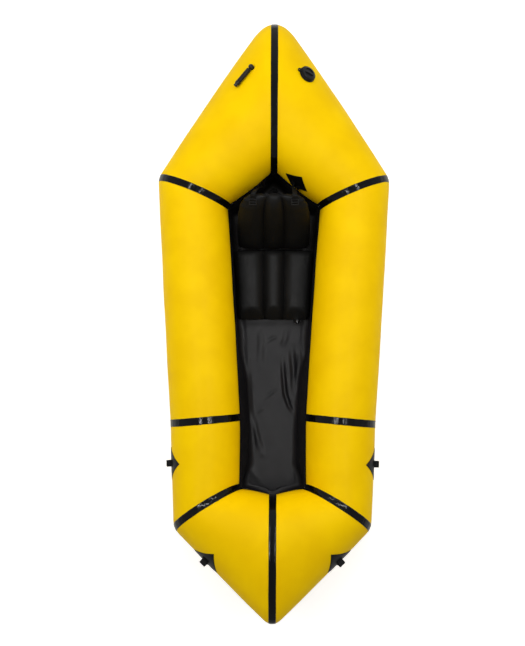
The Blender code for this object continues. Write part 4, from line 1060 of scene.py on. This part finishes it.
# %% Blow up the backrest
BACK_THICKNESS = 56 * MM
BACK_HALF_WIDTH = 0.150
BACK_SCALLOP = 7 * MM
BACK_GROOVES = 0.25
SET_BACK_SHARE = 0.42
back_middle = -(BACK_THICKNESS / 2 * SET_BACK_SHARE + JOIN_GAP)
backrest = cushion("backrest_air_cushion", BACK_LENGTH, (BACK_HALF_WIDTH, BACK_HALF_WIDTH), BACK_THICKNESS,
                   BACK_WIDTHS, BACK_SCALLOP, back_matrix @ Matrix.Translation((0, JOIN_GAP, 0)), back_middle,
                   BACK_GROOVES)
dress(backrest, "backrest", "seat_fabric", "backrest_cushion")
print("backrest", [round(value, 3) for value in backrest.dimensions])

# %% [markdown]
# ## Patches
# Each loop is sewn to a diamond of black cloth, and the diamond is welded to the tube. Its corners are set
# out on the plane that touches the tube at the loop, and the cloth is then laid on the skin below. Both inner
# patches at the stern are turned by a quarter, and the left one covers the centre tape.

# %% The patches' finish
PATCH_THICKNESS = 0.8 * MM
PATCH_LIFT = 0.2 * MM
TANGENT_PASSES = 7
FINISHES["black_patch_fabric"] = coated_fabric("glossy_black_patch_cloth", "#070707", "#0B0B0B", 0.34,
                                               1.2 * MM, 0.06 * MM, 0.16)


def below_tangent(panel, turn, share, ahead, aside):
    """The turn and share of the tube's point that lies below a point of the plane that touches it."""
    origin, _, forward, around = hull_frame(panel, turn, share)
    before, after = hull_point(panel, turn - PROBE, share), hull_point(panel, turn + PROBE, share)
    radius = (after - before).length / (2 * PROBE)
    length = line_length(panel, turn)
    found_turn, found_share = turn, share
    for _ in range(TANGENT_PASSES):
        gap = hull_point(panel, found_turn, found_share) - origin
        found_turn += (aside - gap.dot(around)) / radius
        found_share += (ahead - gap.dot(forward)) / length
    return found_turn, found_share


# %% Weld the patches on
PATCH_CELLS = 8
PATCH_FINENESS = 40


def lay_patch(name, side, panel, turn, share, half, skew, lift):
    long_half, round_half = half
    first, second = Vector((long_half, 0)), Vector((skew * long_half, round_half))
    cells = {}
    for i in range(PATCH_CELLS + 1):
        for j in range(PATCH_CELLS + 1):
            a, b = i / PATCH_CELLS, j / PATCH_CELLS
            ahead, aside = first * (1 - a - b) + second * (a - b)
            cells[i, j] = Vector(below_tangent(panel, turn, share, ahead, aside))

    def place(u, v):
        i, j = min(int(u * PATCH_CELLS), PATCH_CELLS - 1), min(int(v * PATCH_CELLS), PATCH_CELLS - 1)
        a, b = u * PATCH_CELLS - i, v * PATCH_CELLS - j
        near = cells[i, j].lerp(cells[i + 1, j], a)
        far = cells[i, j + 1].lerp(cells[i + 1, j + 1], a)
        found_turn, found_share = near.lerp(far, b)
        return skin(panel, found_turn, found_share, side, lift)

    facing = away_from(panel_middle(panel, side))
    patch = laid_grid(f"{name}_cloth", PATCH_FINENESS, PATCH_FINENESS, place, facing)
    wall(patch, PATCH_THICKNESS, outward=True)
    return dress(patch, "hull", "black_patch_fabric", name)


for name, side, panel, turn_deg, share, half, skew, _, _, _, lift in LOOP_PLACES:
    lay_patch(name.format("patch"), side, panel, radians(turn_deg), share, half, skew, lift + PATCH_LIFT)
print("patches", len(LOOP_PLACES))

# %% [markdown]
# ## Webbing
# Loops and straps are flat woven tape of polyester, dull beside the coated cloth. Its ribs run across it,
# 1.7 mm apart, with a thicker edge. They follow the tape round every bend, so they are drawn on the UV map,
# which is first scaled to metres.

# %% The webbing's finish
RIB_SPACING = 1.7 * MM
WAVE_PERIODS = 20 / (2 * pi)


def webbing(name, dark, light):
    material, tree, shader = new_finish(name, light, 0.7, Specular_IOR_Level=0.2)
    place = add(tree, "ShaderNodeUVMap").outputs["UV"]
    finest = 1 / RIB_SPACING / WAVE_PERIODS
    ribs = add(tree, "ShaderNodeTexWave", {"bands_direction": 'X', "Scale": finest, "Distortion": 1.5,
                                           "Detail": 1.0}, Vector=place)
    warps = add(tree, "ShaderNodeTexWave", {"bands_direction": 'Y', "Scale": 0.7 * finest}, Vector=place)
    both = add(tree, "ShaderNodeMath", {"operation": 'ADD'}, i0=ribs.outputs["Fac"], i1=warps.outputs["Fac"])
    shade = two_tone(tree, shader, both.outputs[0], 0.4, 1.7, dark, light)
    bump(tree, shader, shade, 0.35 * MM, 0.7)
    return material


FINISHES["black_webbing"] = webbing("black_polyester_webbing", "#050505", "#0E0E0F")

# %% A length of webbing along a route
def smooth_route(points, steps):
    """A route through the same corners with its bends rounded."""
    route = []
    for i, point in enumerate(points):
        if 0 < i < len(points) - 1:
            before = point.lerp(points[i - 1], 0.5)
            after = point.lerp(points[i + 1], 0.5)
            route += [bezier(before, point, after, j / steps) for j in range(steps)]
        else:
            route.append(point)
    return route


def lay_webbing(name, route, half_widths, thickness, rows=6):
    """Lays a flat strip along a route, with its thickness to both sides and its UV map in metres."""
    steps = len(route) - 1
    runs = running_lengths(route)

    def place(u, v):
        i = min(round(u * steps), steps)
        return route[i] + half_widths[i] * (2 * v - 1)

    strip = laid_grid(name, steps, rows, place)
    corner_uv = strip.data.uv_layers.active.data
    width = 2 * half_widths[0].length
    for corner in corner_uv:
        corner.uv = runs[min(round(corner.uv.x * steps), steps)], corner.uv.y * width
    modified(strip, 'SOLIDIFY', thickness=thickness, offset=0)
    bevelled(strip, thickness * 0.3, 50)
    strip.data.shade_smooth()
    return strip


# %% Sew the loops on
WEBBING_WIDTH = 25 * MM
WEBBING_THICKNESS = 1.6 * MM
LOOP_HEIGHT = 17 * MM
LOOP_HALF_SPAN = 8.5 * MM
LOOP_FOOT = 14 * MM
LOOP_GAP = 0.1 * MM
LOOP_STEPS = 22
FOOT_STEPS = 6


def loop_profile(curve_radius, lift):
    """Reach and height of points from one foot over the arch to the other."""
    profile = []
    for i in range(FOOT_STEPS):
        reach = LOOP_HALF_SPAN + LOOP_FOOT * (1 - i / FOOT_STEPS)
        profile.append((-reach, lift - reach * reach / (2 * curve_radius)))
    for i in range(LOOP_STEPS + 1):
        turn = pi - pi * i / LOOP_STEPS
        profile.append((LOOP_HALF_SPAN * cos(turn), lift + LOOP_HEIGHT * sin(turn)))
    return profile + [(-reach, height) for reach, height in reversed(profile[:FOOT_STEPS])]


def loop_frame(side, panel, turn_deg, share, turn, shift):
    """The point below a loop, the normal there, the way of its span and the way of its width."""
    point, normal, forward, around = hull_frame(panel, loop_turn(panel, turn_deg, shift), share)
    spin = Matrix.Rotation(radians(turn), 3, normal)
    return [on_side(side, vector) for vector in (point, normal, spin @ around, spin @ forward)]


crowns = {}
for name, side, panel, turn_deg, share, _, _, turn, shift, curve_radius, lift in LOOP_PLACES:
    point, normal, span, width = loop_frame(side, panel, turn_deg, share, turn, shift)
    foot = lift + PATCH_LIFT + PATCH_THICKNESS + LOOP_GAP + WEBBING_THICKNESS / 2
    route = [point + span * reach + normal * height for reach, height in loop_profile(curve_radius, foot)]
    half_widths = [width * (WEBBING_WIDTH / 2)] * len(route)
    node = name.format("loop")
    loop = lay_webbing(f"{node}_webbing", route, half_widths, WEBBING_THICKNESS)
    dress(loop, "hull", "black_webbing", node)
    crown = point + normal * (foot + LOOP_HEIGHT + WEBBING_THICKNESS / 2)
    crowns[node] = crown, normal, span * side, width
print("loops", len(crowns))

# %% [markdown]
# ## Backrest straps
# From each inner loop a narrower strap runs to a ladder buckle near the backrest's upper edge, goes over its
# first bar and under its middle one, and ends in a short tail.

# %% Pull the straps through their buckles
STRAP_WIDTH = 20 * MM
STRAP_THICKNESS = 1.4 * MM
STRAP_GAP = 0.2 * MM
STRAP_X = 0.082
STRAP_OVER = 20 * MM
STRAP_STEPS = 30
LAP_STEPS = -1, -0.5, 0, 0.5
BUCKLES = {
    "left": frame_matrix((-0.08221, 0.42316, 0.28035), (-0.09606, -0.60213, 0.7926), (1, 0, 0)),
    "right": frame_matrix((0.08218, 0.42315, 0.28033), (0.08292, -0.60996, 0.78808), (1, 0, 0)),
}
THREADING = ((15.2, 0.6), (12.6, 2.2), (9.4, 2.5), (6.2, 0.4), (3.0, -1.1), (-0.5, -1.2))

for word, side, rise in (("left", -1, 0.070), ("right", 1, 0.040)):
    crown, normal, span, width = crowns[f"stern_loop_{word}"]
    lap = width * (WEBBING_WIDTH / 2)
    start = crown + normal * (STRAP_GAP + STRAP_THICKNESS / 2)
    threaded = [BUCKLES[word] @ Vector((0, y * MM, z * MM)) for y, z in THREADING]
    end = threaded[0]
    over = back_matrix @ Vector((side * STRAP_X, BACK_LENGTH + rise, STRAP_OVER))
    route = [start + lap * step for step in LAP_STEPS]
    route += [bezier(start + lap, over, end, i / STRAP_STEPS) for i in range(STRAP_STEPS)]
    turned = len(route)
    route += smooth_route(threaded, 4)
    ways = []
    for i in range(len(route)):
        turning = min(max((i - len(LAP_STEPS)) / (turned - len(LAP_STEPS)), 0), 1)
        ways.append(span.lerp(Vector((1, 0, 0)), turning).normalized() * (STRAP_WIDTH / 2))
    strap = lay_webbing(f"backrest_strap_{word}_webbing", route, ways, STRAP_THICKNESS)
    dress(strap, None, "black_webbing", f"backrest_strap_{word}")
    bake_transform(strap)
    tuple(end)
    print("strap", word, "length", round(running_lengths(route)[-1], 3))

# %% [markdown]
# ## Moulded fittings
# The valves, the mouth tube's foot and the buckles are injection moulded in black plastic, and the leash and
# the mouth tube in a softer rubber. Steel moulds are roughened by sparks, which leaves a grain of about a
# third of a millimetre, drawn here at 0.8 mm.

# %% The fittings' finishes
def moulded(name, dark, light, roughness, grain, specular):
    material, tree, shader = new_finish(name, light, roughness, Specular_IOR_Level=specular)
    place = object_place(tree)
    patchy = cloud(tree, place, 60.0, 3.0)
    two_tone(tree, shader, patchy, 0.35, 0.65, dark, light)
    uneven_gloss(tree, shader, patchy, 0.3, 0.7, roughness - 0.06, roughness + 0.08)
    bump(tree, shader, cloud(tree, place, 0.5 / grain, 2.0), 0.06 * MM, 0.5)
    return material


FINISHES["black_moulding"] = moulded("black_acetal_moulding", "#0B0B0C", "#111112", 0.36, 0.8 * MM, 0.45)
FINISHES["black_rubber"] = moulded("black_soft_polyurethane", "#0D0D0D", "#141414", 0.55, 1.1 * MM, 0.3)

# %% Spin a fitting from its profile
def spun(name, profile, matrix, steps=64, edge=0.35):
    """Spins a closed profile of radius and height, in mm, round its own axis and rounds its edges."""
    obj = started(name, bpy.ops.mesh.primitive_circle_add, vertices=len(profile), radius=1)
    for vert, (radius, height) in zip(obj.data.vertices, profile):
        vert.co = radius * MM, 0, height * MM
    with editing(obj):
        bpy.ops.mesh.spin(steps=steps, angle=2 * pi, center=(0, 0, 0), axis=(0, 0, 1))
        bpy.ops.mesh.select_all(action='SELECT')
        bpy.ops.mesh.remove_doubles(threshold=0.005 * MM)
        bpy.ops.mesh.dissolve_degenerate(threshold=0.001 * MM)
        bpy.ops.mesh.normals_make_consistent(inside=False)
    if edge:
        bevelled(obj, edge * MM, 35)
    obj.data.transform(matrix)
    smoothed(obj)
    return obj


def fitting(name, body, slot, node, profile, matrix, *spin_settings):
    return dress(spun(name, profile, matrix, *spin_settings), body, slot, node)


def fluted(obj, beyond, count, dip_share):
    """Draws points farther than a radius from the axis inward, in so many flutes."""
    for vert in obj.data.vertices:
        radius = sqrt(vert.co.x ** 2 + vert.co.y ** 2)
        if radius > beyond:
            spin = Vector((vert.co.x, vert.co.y)).angle_signed(Vector((1, 0)))
            kept = 1 - dip_share(radius, 0.5 + 0.5 * cos(count * spin))
            vert.co.x *= kept
            vert.co.y *= kept


def cut_out(obj, cutter):
    """Takes a cutter's shape out of a piece and removes the cutter."""
    modified(obj, 'BOOLEAN', operation='DIFFERENCE', solver='EXACT', object=cutter)
    bpy.data.objects.remove(cutter, do_unlink=True)


# %% [markdown]
# ## The main valve
# Its base is welded into a hole of the right stern panel, an insert with the flap screws into the base, and a
# ribbed cap with a grip bar closes it. A small leash keeps the cap from being lost.

# %% Cut the valve's hole and make the valve
side, panel, turn, share = VALVE_SPOT
point, normal, forward, _ = hull_frame(panel, turn, share)
valve_matrix = frame_matrix(point, normal, -forward) @ Matrix.Rotation(radians(40), 4, 'Z')

VALVE_HOLE_RADIUS = 23.2 * MM
hole = started("valve_hole", bpy.ops.mesh.primitive_cylinder_add, vertices=48, radius=VALVE_HOLE_RADIUS,
               depth=30 * MM)
hole.data.transform(valve_matrix)
cut_out(panels["stern_panel_right"], hole)
panels["stern_panel_right"].data.shade_smooth()

FLANGE_PROFILE = [(20, 4.5), (29.5, 4.5), (30.5, 3.5), (30.5, 0.5), (22.8, 0.5), (22.8, -16), (20, -16)]
ANCHOR_PROFILE = [(30.9, 1.9), (33.9, 1.9), (33.9, 0.5), (30.9, 0.5)]
BAND_PROFILE = [(25.6, 11.6), (31.6, 11.6), (31.6, 10.2), (25.6, 10.2)]
for settings in (("valve_flange", "hull", "black_moulding", "valve_base", FLANGE_PROFILE),
                 ("leash_anchor_band", "hull", "black_rubber", "leash_anchor_ring", ANCHOR_PROFILE),
                 ("leash_cap_band", "valve_cap_ring", "black_rubber", "leash_cap_ring", BAND_PROFILE)):
    fitting(*settings, valve_matrix)

# %% Make the cap
CAP_RIBS = 40
CAP_RIB_DEPTH = 0.5 * MM
CAP_PROFILE = [(0, 17.4), (20, 16.4), (25.2, 15.2), (27.5, 13.6), (27.5, 12.4), (25.2, 12.4), (25.2, 9.4),
               (27.5, 9.4), (27.5, 7.4), (15.3, 7.4), (15.3, 2.8), (0, 2.8)]
CAP_RIBS_FROM = 27 * MM
GRIP_HALF_WIDTH = 3.75 * MM
GRIP_RADIUS, GRIP_DEPTH, GRIP_HEIGHT = 20 * MM, 9.6 * MM, 16.2 * MM
cap = spun("valve_cap_ribbed", CAP_PROFILE, Matrix.Identity(4), steps=160, edge=0)
fluted(cap, CAP_RIBS_FROM, CAP_RIBS, lambda radius, wave: CAP_RIB_DEPTH * wave ** 2 / radius)
for sign in (-1, 1):
    recess = started("grip_recess", bpy.ops.mesh.primitive_cylinder_add, vertices=64, radius=GRIP_RADIUS,
                     depth=GRIP_DEPTH, location=(0, 0, GRIP_HEIGHT))
    bpy.ops.object.transform_apply(location=True)
    with editing(recess):
        bpy.ops.mesh.bisect(plane_co=(0, sign * GRIP_HALF_WIDTH, 0), plane_no=(0, -sign, 0), use_fill=True,
                            clear_outer=True)
    cut_out(cap, recess)
bevelled(cap, 0.4 * MM, 45)
cap.data.transform(valve_matrix)
smoothed(cap)
dress(cap, "valve_cap", "black_moulding", "valve_cap")
print("cap faces", len(cap.data.polygons))
for name, slot in (("valve_insert", "black_moulding"), ("valve_diaphragm", "black_rubber"),
                   ("leash_strap", "black_rubber")):
    coat(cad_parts[name], slot)  # these solids keep their shape and get a better finish

# %% [markdown]
# ## The mouth tube
# The last breaths come from the paddler: a short flexible tube stands on a ball foot on the left stern panel
# and ends in a mouthpiece that twists shut. A collar of hull fabric is welded over the edge of the foot.

# %% Make the mouth tube
side, panel, turn, share = MOUTH_SPOT
point, normal, _, _ = hull_frame(panel, turn, share)
aim = hull_point(0, radians(58), 0.34) - point
aim = (aim - normal * aim.dot(normal)).normalized()
point, normal, aim = (on_side(side, vector) for vector in (point, normal, aim))
foot_matrix = frame_matrix(point, normal, aim)
BALL_RADIUS, BALL_HEIGHT, BALL_STEPS = 10.2, 11.2, 16
knuckle = []
for i in range(BALL_STEPS + 1):
    tilt = pi / 2 - pi * 3 / 4 * i / BALL_STEPS
    knuckle.append((BALL_RADIUS * cos(tilt), BALL_HEIGHT + BALL_RADIUS * sin(tilt)))
knuckle[0] = (0, BALL_HEIGHT + BALL_RADIUS)
FOOT_PLATE = [(7.4, 1.7), (19, 1.7), (19, 0.3), (0, 0.3)]
COLLAR = [(10.6, 2.6), (11.4, 3.1), (18.6, 2.4), (20.6, 1.2), (21.6, 0.4), (20.2, 0.1), (19.4, 1.7),
          (18.6, 2.0), (11.4, 2.4), (10.8, 2.3)]
tube_matrix = frame_matrix(point + normal * (BALL_HEIGHT * MM), aim, normal)
TUBE_START, TUBE_END, TUBE_BORE = 11.0, 73.0, 7.6
RIDGES = 40
RIDGE_RADII = 8.6, 9.1
PLAIN_END = 1.2
ridges = []
for i in range(RIDGES, -1, -1):
    height = TUBE_START + PLAIN_END + (TUBE_END - TUBE_START - 2 * PLAIN_END) * i / RIDGES
    ridges.append((RIDGE_RADII[i % 2], height))
SLEEVE = [(0, TUBE_END), (TUBE_BORE, TUBE_END)] + ridges + [(TUBE_BORE, TUBE_START), (0, TUBE_START)]
MOUTHPIECE = [(0, 84.5), (4, 84.5), (4, 95.5), (6, 95.5), (7, 94.3), (6.6, 86), (9.4, 84.8), (9.8, 83.6),
              (9.8, 74.4), (9.2, 73.5), (0, 73.5)]
fitting("mouth_tube_ball_foot", "hull", "black_moulding", "mouth_tube_foot", knuckle + FOOT_PLATE,
        foot_matrix, 48, 0.25)
fitting("collar_over_the_foot", "hull", "yellow_coated_fabric", None, COLLAR, foot_matrix, 48, 0)
fitting("mouth_tube_sleeve", "mouth_tube", "black_rubber", "mouth_tube", SLEEVE, tube_matrix, 48, 0)
fitting("mouthpiece_twist", "mouthpiece", "black_moulding", "mouthpiece", MOUTHPIECE, tube_matrix, 48, 0.3)

# %% [markdown]
# ## Small valves, buckles and the fold strip
# A cushion's own valve is a twist cap on a short neck. The buckles are plates with two slots. The fold strip
# is a hem of tape cloth behind the seat, on which the backrest hinges.

# %% Make the twist valves
TWIST_BASE = [(0, 11.6), (7.4, 11.6), (7.4, 2.4), (12, 2.4), (12, 0.3), (0, 0.3)]
TWIST_CAP = [(0, 15.1), (7.9, 15.1), (9.6, 12.6), (9.6, 2.9), (7.9, 2.9), (7.9, 12.1), (0, 12.1)]
TWIST_FLUTES = 24
TWIST_FLUTES_FROM = 9.5 * MM
TWIST_FLUTE_DIP = 0.05
TWIST_VALVES = (
    ("seat_valve", "hull", "seat_valve_cap", (0.098, SEAT_FRONT_Y, 0.030), (0, -1, 0), (0, 0, 1)),
    ("backrest_valve", "backrest", "backrest_valve_cap", (0.085, 0.36873, 0.11712),
     (0.11853, 0.81719, -0.56405), (1, 0, 0)),
)
for name, carrier, cap_body, origin, normal, forward in TWIST_VALVES:
    matrix = frame_matrix(origin, normal, forward)
    fitting(f"{name}_neck", carrier, "black_moulding", f"{name}_base", TWIST_BASE, matrix, 40, 0.25)
    twist = spun(f"{name}_twist_cap", TWIST_CAP, Matrix.Identity(4), 96, 0)
    fluted(twist, TWIST_FLUTES_FROM, TWIST_FLUTES, lambda radius, wave: TWIST_FLUTE_DIP * wave)
    twist.data.transform(matrix)
    dress(twist, cap_body, "black_moulding", f"{name}_cap")
print("twist valves", len(TWIST_VALVES))

# %% Make the buckles
BUCKLE_SIZE = (30 * MM, 24 * MM, 3.2 * MM, 1)
BUCKLE_ROUNDING = 0.9 * MM
SLOT_SIZE = (23.6 * MM, 7.2 * MM, 8 * MM, 1)
SLOT_OFFSET = 5.2 * MM


def block(name, size):
    obj = started(name, bpy.ops.mesh.primitive_cube_add, size=1)
    obj.data.transform(Matrix.Diagonal(size))
    return obj


for word, matrix in BUCKLES.items():
    buckle = block(f"ladder_buckle_{word}", BUCKLE_SIZE)
    for sign in (-1, 1):
        slot_cutter = block("slot_cutter", SLOT_SIZE)
        slot_cutter.data.transform(Matrix.Translation((0, sign * SLOT_OFFSET, 0)))
        cut_out(buckle, slot_cutter)
    bevelled(buckle, BUCKLE_ROUNDING, 30, segments=3)
    buckle.data.transform(matrix)
    smoothed(buckle)
    dress(buckle, "backrest", "black_moulding", f"strap_buckle_{word}")
print("buckles", len(BUCKLES))

# %% Sew the fold strip on
STRIP_LENGTH = 0.240
STRIP_WIDTH = 22 * MM
STRIP_WAVE = 0.3 * MM


def strip_place(u, v):
    x = STRIP_LENGTH * (u - 0.5)
    y = FOLD_Y - SEAT_TO_FOLD + STRIP_WAVE * waves(x * 40, v * 1.5, 4.0)
    return Vector((x, y, FOLD_Z - STRIP_WIDTH * v))


strip = laid_grid("fold_strip_hem", 60, 8, strip_place)
wall(strip, PANEL_THICKNESS)
dress(strip, "hull", "black_seam_tape", "seat_fold_strip")
